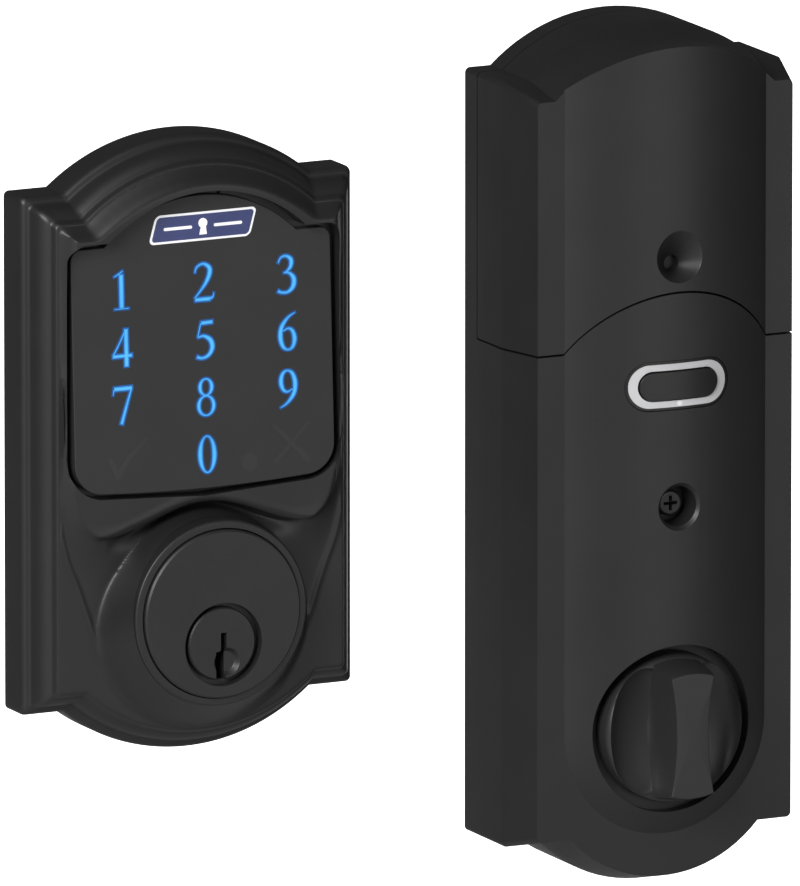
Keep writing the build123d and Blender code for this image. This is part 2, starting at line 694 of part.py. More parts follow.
with BuildPart() as through_bolts:
    with BuildSketch(in_plane(SUPPORT_THICK)):
        with Locations((-POST_X, BOLT_Z), (POST_X, BOLT_Z)):
            Circle(4.5)
    extrude(amount=3.0)
    with BuildSketch(in_plane(SUPPORT_THICK + 1.4)):
        with Locations((-POST_X, BOLT_Z), (POST_X, BOLT_Z)):
            Rectangle(5.5, 1.1)
            Rectangle(1.1, 5.5)
    extrude(amount=3.0, mode=Mode.SUBTRACT)
    with BuildSketch(in_plane(-POST_LENGTH)):
        with Locations((-POST_X, BOLT_Z), (POST_X, BOLT_Z)):
            Circle(2.5)
    extrude(amount=POST_LENGTH + SUPPORT_THICK)
through_bolts.part.label = "through_bolts"
export_step(through_bolts.part, "parts/through_bolts.step")

# --- chassis: a plate on feet that carries the spindle, the motor and the main board ---
CHASSIS_BACK = 7.0
CHASSIS_FRONT = 9.0
FEET = ((-26, -12), (26, -12), (-26, 46), (26, 46))
BOARD_POSTS = ((-25, 61), (25, 61), (-25, 84.5), (25, 84.5))
BOARD_DEPTH = 22.0
MODULE = 0.9
HUB_TEETH = 48
MOTOR_TEETH = 16
GEAR_SPACING = MODULE * (HUB_TEETH + MOTOR_TEETH) / 2 + 0.1
BRACKET_POSTS = ((-12, GEAR_SPACING + 7.5), (12, GEAR_SPACING + 7.5))
GEAR_BACK = 10.0
GEAR_FRONT = 14.0
with BuildPart() as gear_chassis:
    with BuildSketch(in_plane(CHASSIS_BACK)):
        with Locations((0, 34.5)):
            RectangleRounded(58, 107, 4)
        Circle(SPINDLE_RADIUS + RUNNING, mode=Mode.SUBTRACT)
        with Locations((0, GEAR_SPACING)):
            Circle(1.5 + RUNNING, mode=Mode.SUBTRACT)
    extrude(amount=CHASSIS_FRONT - CHASSIS_BACK)
    with BuildSketch(in_plane(SUPPORT_THICK)):
        with Locations(*FEET):
            Circle(3.2)
    extrude(amount=CHASSIS_BACK - SUPPORT_THICK)
    with BuildSketch(in_plane(CHASSIS_FRONT)):
        with Locations(*BRACKET_POSTS):
            Circle(2.6)
    extrude(amount=14.6 - CHASSIS_FRONT)
    with BuildSketch(in_plane(CHASSIS_FRONT)):
        with Locations(*BOARD_POSTS):
            Circle(2.5)
    extrude(amount=BOARD_DEPTH - CHASSIS_FRONT)
    with BuildSketch(in_plane(CHASSIS_FRONT)):
        with Locations((0, SCREW_Z)):
            Circle(3.4)
    extrude(amount=CUP_BACK - CHASSIS_FRONT)
    with BuildSketch(in_plane(12)):
        with Locations((0, SCREW_Z)):
            Circle(1.6)
    extrude(amount=20, mode=Mode.SUBTRACT)
    with BuildSketch(in_plane(SUPPORT_THICK)):
        with Locations(*FEET):
            Circle(1.3)
    extrude(amount=10, mode=Mode.SUBTRACT)
gear_chassis.part.label = "gear_chassis"
export_step(gear_chassis.part, "parts/gear_chassis.step")

with BuildPart() as chassis_screws:
    with BuildSketch(in_plane(CHASSIS_FRONT)):
        with Locations(*FEET):
            Circle(2.4)
    extrude(amount=1.6)
    with BuildSketch(in_plane(SUPPORT_THICK + 0.2)):
        with Locations(*FEET):
            Circle(1.3)
    extrude(amount=CHASSIS_FRONT - SUPPORT_THICK - 0.2)
chassis_screws.part.label = "chassis_screws"
export_step(chassis_screws.part, "parts/chassis_screws.step")


def gear_face(teeth, phase, bore):
    """An involute gear, 20 degree pressure angle, one tooth centred at the phase in degrees."""
    pitch = MODULE * teeth / 2
    base = pitch * cos(radians(20))
    root = pitch - 1.2 * MODULE
    tip = pitch + 0.95 * MODULE
    thinning = 0.08
    involute_at_pitch = tan(radians(20)) - radians(20)

    def half_angle(radius):
        roll = sqrt(max((radius / base) ** 2 - 1, 0))
        involute = roll - atan2(roll, 1)
        return pi / (2 * teeth) - thinning / pitch + involute_at_pitch - involute

    start = max(base, root)
    flank = [start + (tip - start) * step / 3 for step in range(4)]
    if base > root:
        flank.insert(0, root)
    points = []
    for tooth in range(teeth):
        middle = radians(phase) + 2 * pi * tooth / teeth
        for radius in flank:
            angle = middle - half_angle(radius)
            points.append((radius * cos(angle), radius * sin(angle)))
        for radius in reversed(flank):
            angle = middle + half_angle(radius)
            points.append((radius * cos(angle), radius * sin(angle)))
    with BuildSketch() as gear:
        with BuildLine():
            Polyline(*points, close=True)
        make_face()
        Circle(bore, mode=Mode.SUBTRACT)
    return gear.sketch


# --- hub gear on the thumbturn's spindle, driven by the motor's pinion above it ---
with BuildPart() as hub_gear:
    with BuildSketch(in_plane(GEAR_BACK)):
        add(gear_face(HUB_TEETH, 90, SPINDLE_RADIUS))
    extrude(amount=GEAR_FRONT - GEAR_BACK)
    with BuildSketch(in_plane(GEAR_FRONT - 1.2)):
        Circle(19.0)
        Circle(8.0, mode=Mode.SUBTRACT)
    extrude(amount=2, mode=Mode.SUBTRACT)
hub_gear.part.label = "hub_gear"
export_step(hub_gear.part, "parts/hub_gear.step")

SHAFT_RADIUS = 1.5
with BuildPart() as motor_pinion:
    with BuildSketch(in_plane(GEAR_BACK, z=GEAR_SPACING)):
        add(gear_face(MOTOR_TEETH, -90 + 180 / MOTOR_TEETH, SHAFT_RADIUS))
    extrude(amount=GEAR_FRONT - GEAR_BACK)
motor_pinion.part.label = "motor_pinion"
export_step(motor_pinion.part, "parts/motor_pinion.step")

with BuildPart() as motor_shaft:
    with BuildSketch(in_plane(CHASSIS_BACK + 0.3)):
        with Locations((0, GEAR_SPACING)):
            Circle(SHAFT_RADIUS)
    extrude(amount=12.0)
motor_shaft.part.label = "motor_shaft"
export_step(motor_shaft.part, "parts/motor_shaft.step")

BRACKET_BACK = 14.6
BRACKET_FRONT = 15.8
with BuildPart() as motor_bracket:
    with BuildSketch(in_plane(BRACKET_BACK)):
        with Locations((0, GEAR_SPACING + 2.5)):
            RectangleRounded(31, 17, 2)
        with Locations((0, GEAR_SPACING)):
            Circle(3.0, mode=Mode.SUBTRACT)
        with Locations(*BRACKET_POSTS):
            Circle(1.1, mode=Mode.SUBTRACT)
    extrude(amount=BRACKET_FRONT - BRACKET_BACK)
motor_bracket.part.label = "motor_bracket"
export_step(motor_bracket.part, "parts/motor_bracket.step")

with BuildPart() as bracket_screws:
    with BuildSketch(in_plane(BRACKET_FRONT)):
        with Locations(*BRACKET_POSTS):
            Circle(2.0)
    extrude(amount=1.3)
    with BuildSketch(in_plane(BRACKET_BACK)):
        with Locations(*BRACKET_POSTS):
            Circle(1.1)
    extrude(amount=BRACKET_FRONT - BRACKET_BACK)
bracket_screws.part.label = "bracket_screws"
export_step(bracket_screws.part, "parts/bracket_screws.step")

with BuildPart() as gear_motor:
    with BuildSketch(in_plane(BRACKET_FRONT, z=GEAR_SPACING)):
        Circle(6.0)
        Rectangle(12, 10, mode=Mode.INTERSECT)
    extrude(amount=18.0)
    with BuildSketch(in_plane(BRACKET_FRONT, z=GEAR_SPACING)):
        Circle(SHAFT_RADIUS + RUNNING)
    extrude(amount=4.0, mode=Mode.SUBTRACT)
gear_motor.part.label = "gear_motor"
export_step(gear_motor.part, "parts/gear_motor.step")

# --- spindle: slotted for the tailpiece behind, square for the thumbturn in front ---
SPINDLE_BACK = 5.6
SPINDLE_FRONT = 31.2
with BuildPart() as turn_spindle:
    with BuildSketch(in_plane(SPINDLE_BACK)):
        Circle(SPINDLE_RADIUS)
    extrude(amount=SPINDLE_FRONT - SPINDLE_BACK)
    with BuildSketch(in_plane(SPINDLE_FRONT)):
        Rectangle(6.4, 6.4)
    extrude(amount=4.2)
    with BuildSketch(in_plane(SPINDLE_BACK)):
        Rectangle(TAIL_THICK + 0.5, TAIL_WIDE + 0.5)
    extrude(amount=10, mode=Mode.SUBTRACT)
turn_spindle.part.label = "turn_spindle"
export_step(turn_spindle.part, "parts/turn_spindle.step")

with BuildPart() as spindle_clip:
    with BuildSketch(in_plane(24.8)):
        Circle(7.4)
        Circle(SPINDLE_RADIUS, mode=Mode.SUBTRACT)
    extrude(amount=1.0)
spindle_clip.part.label = "spindle_clip"
export_step(spindle_clip.part, "parts/spindle_clip.step")

with BuildPart() as turn_bushing:
    with BuildSketch(in_plane(26)):
        Circle(HUB_RADIUS)
        Circle(SPINDLE_RADIUS + RUNNING, mode=Mode.SUBTRACT)
    extrude(amount=RECESS_FLOOR - 26)
turn_bushing.part.label = "turn_bushing"
export_step(turn_bushing.part, "parts/turn_bushing.step")

# --- thumbturn: a dished drum with a waisted bar across it ---
DRUM_RADIUS = 18.0
BAR_LENGTH = 30.0
BAR_FRONT = 45.5
with BuildPart() as thumbturn:
    with BuildSketch(in_plane(RECESS_FLOOR + 0.4)):
        Circle(DRUM_RADIUS)
    extrude(amount=2.6)
    with BuildSketch(in_plane(34.0)):
        Circle(DRUM_RADIUS)
    extrude(amount=3.0, taper=21.8)
    with BuildSketch(in_plane(37.0)):
        Circle(15.8)
    extrude(amount=-3.2, taper=30, mode=Mode.SUBTRACT)
    with BuildSketch(in_plane(33.0)):
        with BuildLine():
            Line((-5.5, BAR_LENGTH / 2), (5.5, BAR_LENGTH / 2))
            ThreePointArc((5.5, BAR_LENGTH / 2), (4.0, 0), (5.5, -BAR_LENGTH / 2))
            Line((5.5, -BAR_LENGTH / 2), (-5.5, -BAR_LENGTH / 2))
            ThreePointArc((-5.5, -BAR_LENGTH / 2), (-4.0, 0), (-5.5, BAR_LENGTH / 2))
        make_face()
    extrude(amount=BAR_FRONT - 33.0)
    fillet(thumbturn.edges().group_by(Axis.Y)[0], 1.0)
    with BuildSketch(in_plane(RECESS_FLOOR)):
        Rectangle(6.4, 6.4)
    extrude(amount=4.6, mode=Mode.SUBTRACT)
thumbturn.part.label = "thumbturn"
export_step(thumbturn.part, "parts/thumbturn.step")

# --- position sensing: a magnet on the hub gear and its sensor on the housing's post ---
with BuildPart() as position_magnet:
    with BuildSketch(in_plane(GEAR_FRONT - 1.2)):
        with Locations((0, -14)):
            Circle(2.5)
    extrude(amount=2.4)
    with BuildSketch(in_plane(GEAR_FRONT - 1.2)):
        with Locations((0, -14)):
            Circle(3.4)
    extrude(amount=1.2)
position_magnet.part.label = "position_magnet"
export_step(position_magnet.part, "parts/position_magnet.step")

with BuildPart() as position_sensor:
    with BuildSketch(in_plane(16.2)):
        with Locations((0, -14)):
            Rectangle(10, 12)
    extrude(amount=1.2)
position_sensor.part.label = "position_sensor"
export_step(position_sensor.part, "parts/position_sensor.step")

# --- main board on the chassis posts, with what it carries ---
BOARD_FRONT = BOARD_DEPTH + 1.6
with BuildPart() as main_circuit_board:
    with BuildSketch(in_plane(BOARD_DEPTH)):
        with Locations((0, 72.75)):
            RectangleRounded(58, 31, 1.5)
        with Locations(*BOARD_POSTS):
            Circle(1.1, mode=Mode.SUBTRACT)
    extrude(amount=BOARD_FRONT - BOARD_DEPTH)
main_circuit_board.part.label = "main_circuit_board"
export_step(main_circuit_board.part, "parts/main_circuit_board.step")

with BuildPart() as board_screws:
    with BuildSketch(in_plane(BOARD_FRONT)):
        with Locations(*BOARD_POSTS):
            Circle(1.9)
    extrude(amount=1.2)
    with BuildSketch(in_plane(BOARD_DEPTH)):
        with Locations(*BOARD_POSTS):
            Circle(1.1)
    extrude(amount=BOARD_FRONT - BOARD_DEPTH)
board_screws.part.label = "board_screws"
export_step(board_screws.part, "parts/board_screws.step")

with BuildPart() as main_processor:
    with BuildSketch(in_plane(BOARD_FRONT)):
        with Locations((-13, 66)):
            Rectangle(12, 12)
    extrude(amount=1.2)
main_processor.part.label = "main_processor"
export_step(main_processor.part, "parts/main_processor.step")

with BuildPart() as radio_module:
    with BuildSketch(in_plane(BOARD_FRONT)):
        with Locations((12, 66)):
            Rectangle(18, 14)
    extrude(amount=2.6)
radio_module.part.label = "radio_module"
export_step(radio_module.part, "parts/radio_module.step")

with BuildPart() as board_cable_socket:
    with BuildSketch(in_plane(BOARD_DEPTH - 5.0)):
        with Locations((-12, 80)):
            Rectangle(12, 6)
    extrude(amount=5.0)
    with BuildSketch(in_plane(BOARD_DEPTH - 5.0)):
        with Locations((-12, 80)):
            Rectangle(9.6, 3.6)
    extrude(amount=4.0, mode=Mode.SUBTRACT)
board_cable_socket.part.label = "board_cable_socket"
export_step(board_cable_socket.part, "parts/board_cable_socket.step")

# --- programming button: cap, light ring, frame and switch ---
SWITCH_FRONT = 27.6
with BuildPart() as tactile_switch:
    with BuildSketch(in_plane(BOARD_FRONT)):
        with Locations((0, BUTTON_Z)):
            Rectangle(6, 6)
    extrude(amount=3.4)
    with BuildSketch(in_plane(BOARD_FRONT)):
        with Locations((0, BUTTON_Z)):
            Circle(1.5)
    extrude(amount=SWITCH_FRONT - BOARD_FRONT)
tactile_switch.part.label = "tactile_switch"
export_step(tactile_switch.part, "parts/tactile_switch.step")

BUTTON_TRAVEL = 0.6
FLANGE_BACK = 32.2
FLANGE_FRONT = 33.4
with BuildPart() as button_cap:
    with BuildSketch(in_plane(FLANGE_FRONT - 0.2)):
        with Locations((0, BUTTON_Z)):
            RectangleRounded(19.4, 6.4, 3.19)
    extrude(amount=10)
    add(barrel_solid(-0.35), mode=Mode.INTERSECT)
    with BuildSketch(in_plane(FLANGE_BACK - 0.2)):
        with Locations((0, BUTTON_Z)):
            RectangleRounded(21.4, 8.2, 4.09)
    extrude(amount=FLANGE_FRONT - FLANGE_BACK)
    with BuildSketch(in_plane(SWITCH_FRONT + BUTTON_TRAVEL + 0.1)):
        with Locations((0, BUTTON_Z)):
            Circle(1.5)
    extrude(amount=4.2)
button_cap.part.label = "button_cap"
export_step(button_cap.part, "parts/button_cap.step")

LAMP_DROP = 4.2
with BuildPart() as button_light_ring:
    with BuildSketch(in_plane(FLANGE_FRONT)):
        with Locations((0, BUTTON_Z)):
            RectangleRounded(24.2, 9.9, 4.94)
            RectangleRounded(20.0, 7.0, 3.49, mode=Mode.SUBTRACT)
        with Locations((0, BUTTON_Z - LAMP_DROP)):
            Circle(0.6, mode=Mode.SUBTRACT)
    extrude(amount=10)
    add(barrel_solid(0.1), mode=Mode.INTERSECT)
button_light_ring.part.label = "button_light_ring"
export_step(button_light_ring.part, "parts/button_light_ring.step")

with BuildPart() as status_lamp:
    with BuildSketch(in_plane(FLANGE_FRONT)):
        with Locations((0, BUTTON_Z - LAMP_DROP)):
            Circle(0.6)
    extrude(amount=10)
    add(barrel_solid(0.05), mode=Mode.INTERSECT)
status_lamp.part.label = "status_lamp"
export_step(status_lamp.part, "parts/status_lamp.step")

with BuildPart() as button_frame:
    with BuildSketch(in_plane(FLANGE_BACK)):
        with Locations((0, BUTTON_Z)):
            RectangleRounded(28.6, 14.0, 5)
    extrude(amount=FLANGE_FRONT - FLANGE_BACK)
    with BuildSketch(in_plane(FLANGE_BACK)):
        with Locations((0, BUTTON_Z)):
            RectangleRounded(25.8, 11.2, 5.59)
    extrude(amount=10)
    add(barrel_solid(0.2), mode=Mode.INTERSECT)
    with BuildSketch(in_plane(FLANGE_BACK)):
        with Locations((0, BUTTON_Z)):
            RectangleRounded(22.4, 9.2, 4.59)
    extrude(amount=2, mode=Mode.SUBTRACT)
    with BuildSketch(in_plane(FLANGE_FRONT)):
        with Locations((0, BUTTON_Z)):
            RectangleRounded(24.3, 10.0, 4.99)
    extrude(amount=10, mode=Mode.SUBTRACT)
button_frame.part.label = "button_frame"
export_step(button_frame.part, "parts/button_frame.step")

# --- housing screw, in its well ---
with BuildPart() as housing_screw:
    with BuildSketch(in_plane(12.4, z=SCREW_Z)):
        Circle(1.6)
    extrude(amount=RECESS_FLOOR - 12.4)
    with BuildSketch(in_plane(RECESS_FLOOR, z=SCREW_Z)):
        Circle(3.0)
    extrude(amount=2.8)
    fillet(housing_screw.edges().group_by(Axis.Y)[0], 0.7)
    with BuildSketch(in_plane(RECESS_FLOOR + 2.8, z=SCREW_Z)):
        Rectangle(3.4, 0.8)
        Rectangle(0.8, 3.4)
    extrude(amount=-1.6, taper=12, mode=Mode.SUBTRACT)
housing_screw.part.label = "housing_screw"
export_step(housing_screw.part, "parts/housing_screw.step")

# --- battery tray with four cells and their contacts ---
TRAY_BACK = 6.8
TRAY_FLOOR = 8.2
TRAY_FRONT = 17.0
TRAY_Z = 117.5
POCKET_LENGTH = 51.3
CELL_RADIUS = 7.2
CELL_LENGTH = 50.5
CELL_DEPTH = TRAY_FLOOR + CELL_RADIUS + 0.05
CELL_XS = (-21.75, -7.25, 7.25, 21.75)
CONTACT_THICK = 0.35
with BuildPart() as battery_tray:
    with BuildSketch(in_plane(TRAY_BACK, z=TRAY_Z)):
        RectangleRounded(61.4, 54.4, 1)
    extrude(amount=TRAY_FRONT - TRAY_BACK)
    with BuildSketch(in_plane(TRAY_FLOOR, z=TRAY_Z)):
        Rectangle(58.4, POCKET_LENGTH)
    extrude(amount=20, mode=Mode.SUBTRACT)
    with BuildSketch(in_plane(SUPPORT_THICK, z=TRAY_Z)):
        with GridLocations(52, 45, 2, 2):
            Circle(3.0)
    extrude(amount=TRAY_BACK - SUPPORT_THICK)
battery_tray.part.label = "battery_tray"
export_step(battery_tray.part, "parts/battery_tray.step")

with BuildPart() as battery_contacts:
    with BuildSketch(in_plane(TRAY_FLOOR, z=TRAY_Z)):
        for end in (-1, 1):
            with Locations(*[(x, end * (POCKET_LENGTH - CONTACT_THICK) / 2) for x in CELL_XS]):
                Rectangle(9, CONTACT_THICK)
    extrude(amount=TRAY_FRONT - TRAY_FLOOR - 0.5)
battery_contacts.part.label = "battery_contacts"
export_step(battery_contacts.part, "parts/battery_contacts.step")

with BuildPart() as battery_cells:
    for number, x in enumerate(CELL_XS):
        nub_end = 1 if number % 2 else -1
        low = TURN_Z + TRAY_Z - CELL_LENGTH / 2
        body_low = low if nub_end > 0 else low + 1.0
        nub_low = low + CELL_LENGTH - 1.5 if nub_end > 0 else low
        with BuildSketch(Plane.XY.offset(body_low)):
            with Locations((IN_X + x, -CELL_DEPTH)):
                Circle(CELL_RADIUS)
        extrude(amount=CELL_LENGTH - 1.0)
        with BuildSketch(Plane.XY.offset(nub_low)):
            with Locations((IN_X + x, -CELL_DEPTH)):
                Circle(2.7)
        extrude(amount=1.5)
battery_cells.part.label = "battery_cells"
export_step(battery_cells.part, "parts/battery_cells.step")
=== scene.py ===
# %% [markdown]
# # A keypad smart lock
# The lock comes in two halves. The outside half has a cast cover with a moulded edge, a touchscreen
# with lit numbers and a key cylinder. The inside half has a battery cover, a button and a thumbturn.
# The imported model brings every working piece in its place. This lesson gives the pieces their looks:
# it sculpts the outside cover, softens the edges of the others, draws the numbers and makes the paint.

# %% Load the frame
import json
import math

import bpy
import numpy as np
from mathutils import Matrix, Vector


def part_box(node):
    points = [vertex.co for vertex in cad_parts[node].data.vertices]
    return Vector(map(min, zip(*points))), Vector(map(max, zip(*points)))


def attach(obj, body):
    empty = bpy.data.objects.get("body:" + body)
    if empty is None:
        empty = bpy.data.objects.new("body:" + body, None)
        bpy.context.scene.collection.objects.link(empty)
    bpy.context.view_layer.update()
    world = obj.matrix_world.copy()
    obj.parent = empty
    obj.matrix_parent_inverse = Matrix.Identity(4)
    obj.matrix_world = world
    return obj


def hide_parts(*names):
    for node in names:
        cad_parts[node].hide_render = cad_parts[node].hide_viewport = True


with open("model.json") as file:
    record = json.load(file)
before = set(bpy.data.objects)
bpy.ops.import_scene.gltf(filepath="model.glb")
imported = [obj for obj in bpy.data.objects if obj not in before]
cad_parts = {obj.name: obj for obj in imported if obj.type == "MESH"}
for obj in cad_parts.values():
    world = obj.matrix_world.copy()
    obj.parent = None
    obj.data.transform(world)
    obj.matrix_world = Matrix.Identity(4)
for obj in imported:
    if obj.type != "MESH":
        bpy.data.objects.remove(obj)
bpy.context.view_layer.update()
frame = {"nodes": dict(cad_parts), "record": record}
MM = 0.001

# %% [markdown]
# ## Camera, floor and light
# The lock is looked at from its left front and a little from above, through a very long lens, so
# that upright lines stay parallel. Black paint shows its shape only through reflections. So a large
# soft light stands at the left, a weaker one in front, and a small one hangs above. A spot lamp
# behind the lock lights the floor there, so the lock stands out dark against a pale ground.

# %% Camera
AZIMUTH = math.radians(26.0)
ELEVATION = math.radians(12.0)
DISTANCE = 6.0
VIEW_HEIGHT = 0.1978
LOOK_AT = Vector((0.0389, -0.0377, 0.0374))

toward_camera = Vector((
    -math.sin(AZIMUTH) * math.cos(ELEVATION),
    -math.cos(AZIMUTH) * math.cos(ELEVATION),
    math.sin(ELEVATION),
))
camera_data = bpy.data.cameras.new("camera")
camera_data.sensor_width = 36.0
camera_data.lens = camera_data.sensor_width * DISTANCE / VIEW_HEIGHT
camera = bpy.data.objects.new("camera", camera_data)
camera.location = LOOK_AT + toward_camera * DISTANCE
camera.rotation_euler = (-toward_camera).to_track_quat("-Z", "Y").to_euler()
bpy.context.scene.collection.objects.link(camera)
bpy.context.scene.camera = camera
bpy.context.scene.view_settings.view_transform = "Standard"
print("lens", round(camera_data.lens), "mm")


# %% Lights, world and floor
def area_light(name, azimuth, elevation, distance, size, power):
    """A square soft light, aimed at the lock."""
    a, e = math.radians(azimuth), math.radians(elevation)
    away = Vector((math.sin(a) * math.cos(e), -math.cos(a) * math.cos(e), math.sin(e)))
    data = bpy.data.lights.new(name, "AREA")
    data.size = size
    data.energy = power
    light = bpy.data.objects.new(name, data)
    light.location = LOOK_AT + away * distance
    light.rotation_euler = (-away).to_track_quat("-Z", "Y").to_euler()
    bpy.context.scene.collection.objects.link(light)


area_light("key_light", -54, 26, 1.6, 0.8, 26)
area_light("front_light", 16, 0, 2.2, 1.4, 10)
area_light("top_light", -30, 65, 1.6, 0.8, 2)

backdrop_data = bpy.data.lights.new("backdrop_light", "SPOT")
backdrop_data.energy = 520
backdrop_data.spot_size = math.radians(62)
backdrop_data.spot_blend = 0.4
backdrop_data.shadow_soft_size = 0.2
backdrop_light = bpy.data.objects.new("backdrop_light", backdrop_data)
backdrop_light.location = (0.84, 1.60, 1.6)
bpy.context.scene.collection.objects.link(backdrop_light)

world = bpy.data.worlds.new("studio")
world.use_nodes = True
world.node_tree.nodes["Background"].inputs["Color"].default_value = (1, 1, 1, 1)
world.node_tree.nodes["Background"].inputs["Strength"].default_value = 0.065
bpy.context.scene.world = world


def flat_material(name, color, roughness):
    """A plain material: one colour, one roughness."""
    material = bpy.data.materials.new(name)
    material.use_nodes = True
    shader = material.node_tree.nodes["Principled BSDF"]
    shader.inputs["Base Color"].default_value = (*color, 1)
    shader.inputs["Roughness"].default_value = roughness
    return material


bpy.ops.object.select_all(action="DESELECT")
bpy.ops.mesh.primitive_plane_add(size=30, location=(0, 0, -0.35))
floor = bpy.context.object
floor.name = "floor"
floor.data.materials.append(flat_material("floor_white", (0.6, 0.6, 0.6), 0.9))
print("stage set")

# %% [markdown]
# ## Surface effects
# Two small node groups make the fine detail that several materials share: a grain, which can be
# drawn out one way for rolled steel, and the rings a lathe leaves. Each group only gives masks and
# normals, and the fixed values stay on each material's own shader.


# %% Node groups
def effect_group(name, sockets):
    """A node group with the named sockets, and its input and output nodes."""
    tree = bpy.data.node_groups.new(name, "ShaderNodeTree")
    for side, kind, label in sockets:
        tree.interface.new_socket(name=label, in_out=side, socket_type=kind)
    return tree, tree.nodes.new("NodeGroupInput"), tree.nodes.new("NodeGroupOutput")


FLOAT, VECTOR = "NodeSocketFloat", "NodeSocketVector"
grain, grain_in, grain_out = effect_group("grain", [
    ("INPUT", FLOAT, "Size"), ("INPUT", FLOAT, "Height"), ("INPUT", VECTOR, "Stretch"),
    ("OUTPUT", FLOAT, "Patches"), ("OUTPUT", FLOAT, "Specks"), ("OUTPUT", VECTOR, "Normal"),
])
coords = grain.nodes.new("ShaderNodeTexCoord")
stretch = grain.nodes.new("ShaderNodeVectorMath")
stretch.operation = "MULTIPLY"
fine = grain.nodes.new("ShaderNodeTexNoise")
fine.inputs["Detail"].default_value = 3.0
wide = grain.nodes.new("ShaderNodeTexNoise")
wide.inputs["Scale"].default_value = 70.0
bump = grain.nodes.new("ShaderNodeBump")
bump.inputs["Distance"].default_value = 0.00004
grain.links.new(coords.outputs["Object"], stretch.inputs[0])
grain.links.new(grain_in.outputs["Stretch"], stretch.inputs[1])
grain.links.new(stretch.outputs["Vector"], fine.inputs["Vector"])
grain.links.new(grain_in.outputs["Size"], fine.inputs["Scale"])
grain.links.new(coords.outputs["Object"], wide.inputs["Vector"])
grain.links.new(fine.outputs["Fac"], bump.inputs["Height"])
grain.links.new(grain_in.outputs["Height"], bump.inputs["Strength"])
grain.links.new(wide.outputs["Fac"], grain_out.inputs["Patches"])
grain.links.new(fine.outputs["Fac"], grain_out.inputs["Specks"])
grain.links.new(bump.outputs["Normal"], grain_out.inputs["Normal"])

rings, rings_in, rings_out = effect_group("lathe_rings", [
    ("INPUT", VECTOR, "Centre"), ("INPUT", FLOAT, "Rings per metre"), ("INPUT", FLOAT, "Height"),
    ("OUTPUT", VECTOR, "Normal"),
])
coords = rings.nodes.new("ShaderNodeTexCoord")
offset = rings.nodes.new("ShaderNodeVectorMath")
offset.operation = "SUBTRACT"
flatten = rings.nodes.new("ShaderNodeVectorMath")
flatten.operation = "MULTIPLY"
flatten.inputs[1].default_value = (1, 0, 1)
radius = rings.nodes.new("ShaderNodeVectorMath")
radius.operation = "LENGTH"
times = rings.nodes.new("ShaderNodeMath")
times.operation = "MULTIPLY"
wave = rings.nodes.new("ShaderNodeMath")
wave.operation = "SINE"
bump = rings.nodes.new("ShaderNodeBump")
bump.inputs["Distance"].default_value = 0.00004
rings.links.new(coords.outputs["Object"], offset.inputs[0])
rings.links.new(rings_in.outputs["Centre"], offset.inputs[1])
rings.links.new(offset.outputs["Vector"], flatten.inputs[0])
rings.links.new(flatten.outputs["Vector"], radius.inputs[0])
rings.links.new(radius.outputs["Value"], times.inputs[0])
rings.links.new(rings_in.outputs["Rings per metre"], times.inputs[1])
rings.links.new(times.outputs["Value"], wave.inputs[0])
rings.links.new(wave.outputs["Value"], bump.inputs["Height"])
rings.links.new(rings_in.outputs["Height"], bump.inputs["Strength"])
rings.links.new(bump.outputs["Normal"], rings_out.inputs["Normal"])
print("groups", [g.name for g in bpy.data.node_groups])


# %% [markdown]
# ## Materials
# Every material drifts between two close colours and two close roughnesses, so nothing looks like
# one flat fill. The black paint is the one that counts: satin, very dark, with a fine grain.


# %% Material maker
def surface(name, colors, roughness, metallic=0.0, size=2500.0, height=0.3, stretch=(1, 1, 1)):
    """A material with a fine grain, its colour and roughness drifting between two values."""
    material = bpy.data.materials.new(name)
    material.use_nodes = True
    nodes, links = material.node_tree.nodes, material.node_tree.links
    shader = nodes["Principled BSDF"]
    shader.inputs["Metallic"].default_value = metallic
    effect = nodes.new("ShaderNodeGroup")
    effect.node_tree = grain
    effect.inputs["Size"].default_value = size
    effect.inputs["Height"].default_value = height
    effect.inputs["Stretch"].default_value = stretch
    tone = nodes.new("ShaderNodeValToRGB")
    tone.color_ramp.elements[0].position = 0.35
    tone.color_ramp.elements[1].position = 0.65
    tone.color_ramp.elements[0].color = (*colors[0], 1)
    tone.color_ramp.elements[1].color = (*colors[1], 1)
    sheen = nodes.new("ShaderNodeMapRange")
    sheen.inputs["From Min"].default_value = 0.3
    sheen.inputs["From Max"].default_value = 0.7
    sheen.inputs["To Min"].default_value = roughness[0]
    sheen.inputs["To Max"].default_value = roughness[1]
    links.new(effect.outputs["Patches"], tone.inputs["Fac"])
    links.new(effect.outputs["Specks"], sheen.inputs["Value"])
    links.new(tone.outputs["Color"], shader.inputs["Base Color"])
    links.new(sheen.outputs["Result"], shader.inputs["Roughness"])
    links.new(effect.outputs["Normal"], shader.inputs["Normal"])
    return material


def turned(name, colors, roughness, centre, pitch, height, metallic=0.0):
    """A surface whose bump is the rings a lathe leaves round a centre."""
    material = surface(name, colors, roughness, metallic)
    nodes, links = material.node_tree.nodes, material.node_tree.links
    effect = nodes.new("ShaderNodeGroup")
    effect.node_tree = rings
    effect.inputs["Centre"].default_value = centre
    effect.inputs["Rings per metre"].default_value = 2 * math.pi / pitch
    effect.inputs["Height"].default_value = height
    links.new(effect.outputs["Normal"], nodes["Principled BSDF"].inputs["Normal"])
    return material


def grey(*values):
    """Two grey colours from two brightnesses."""
    return [(v, v, v * 1.02) for v in values]


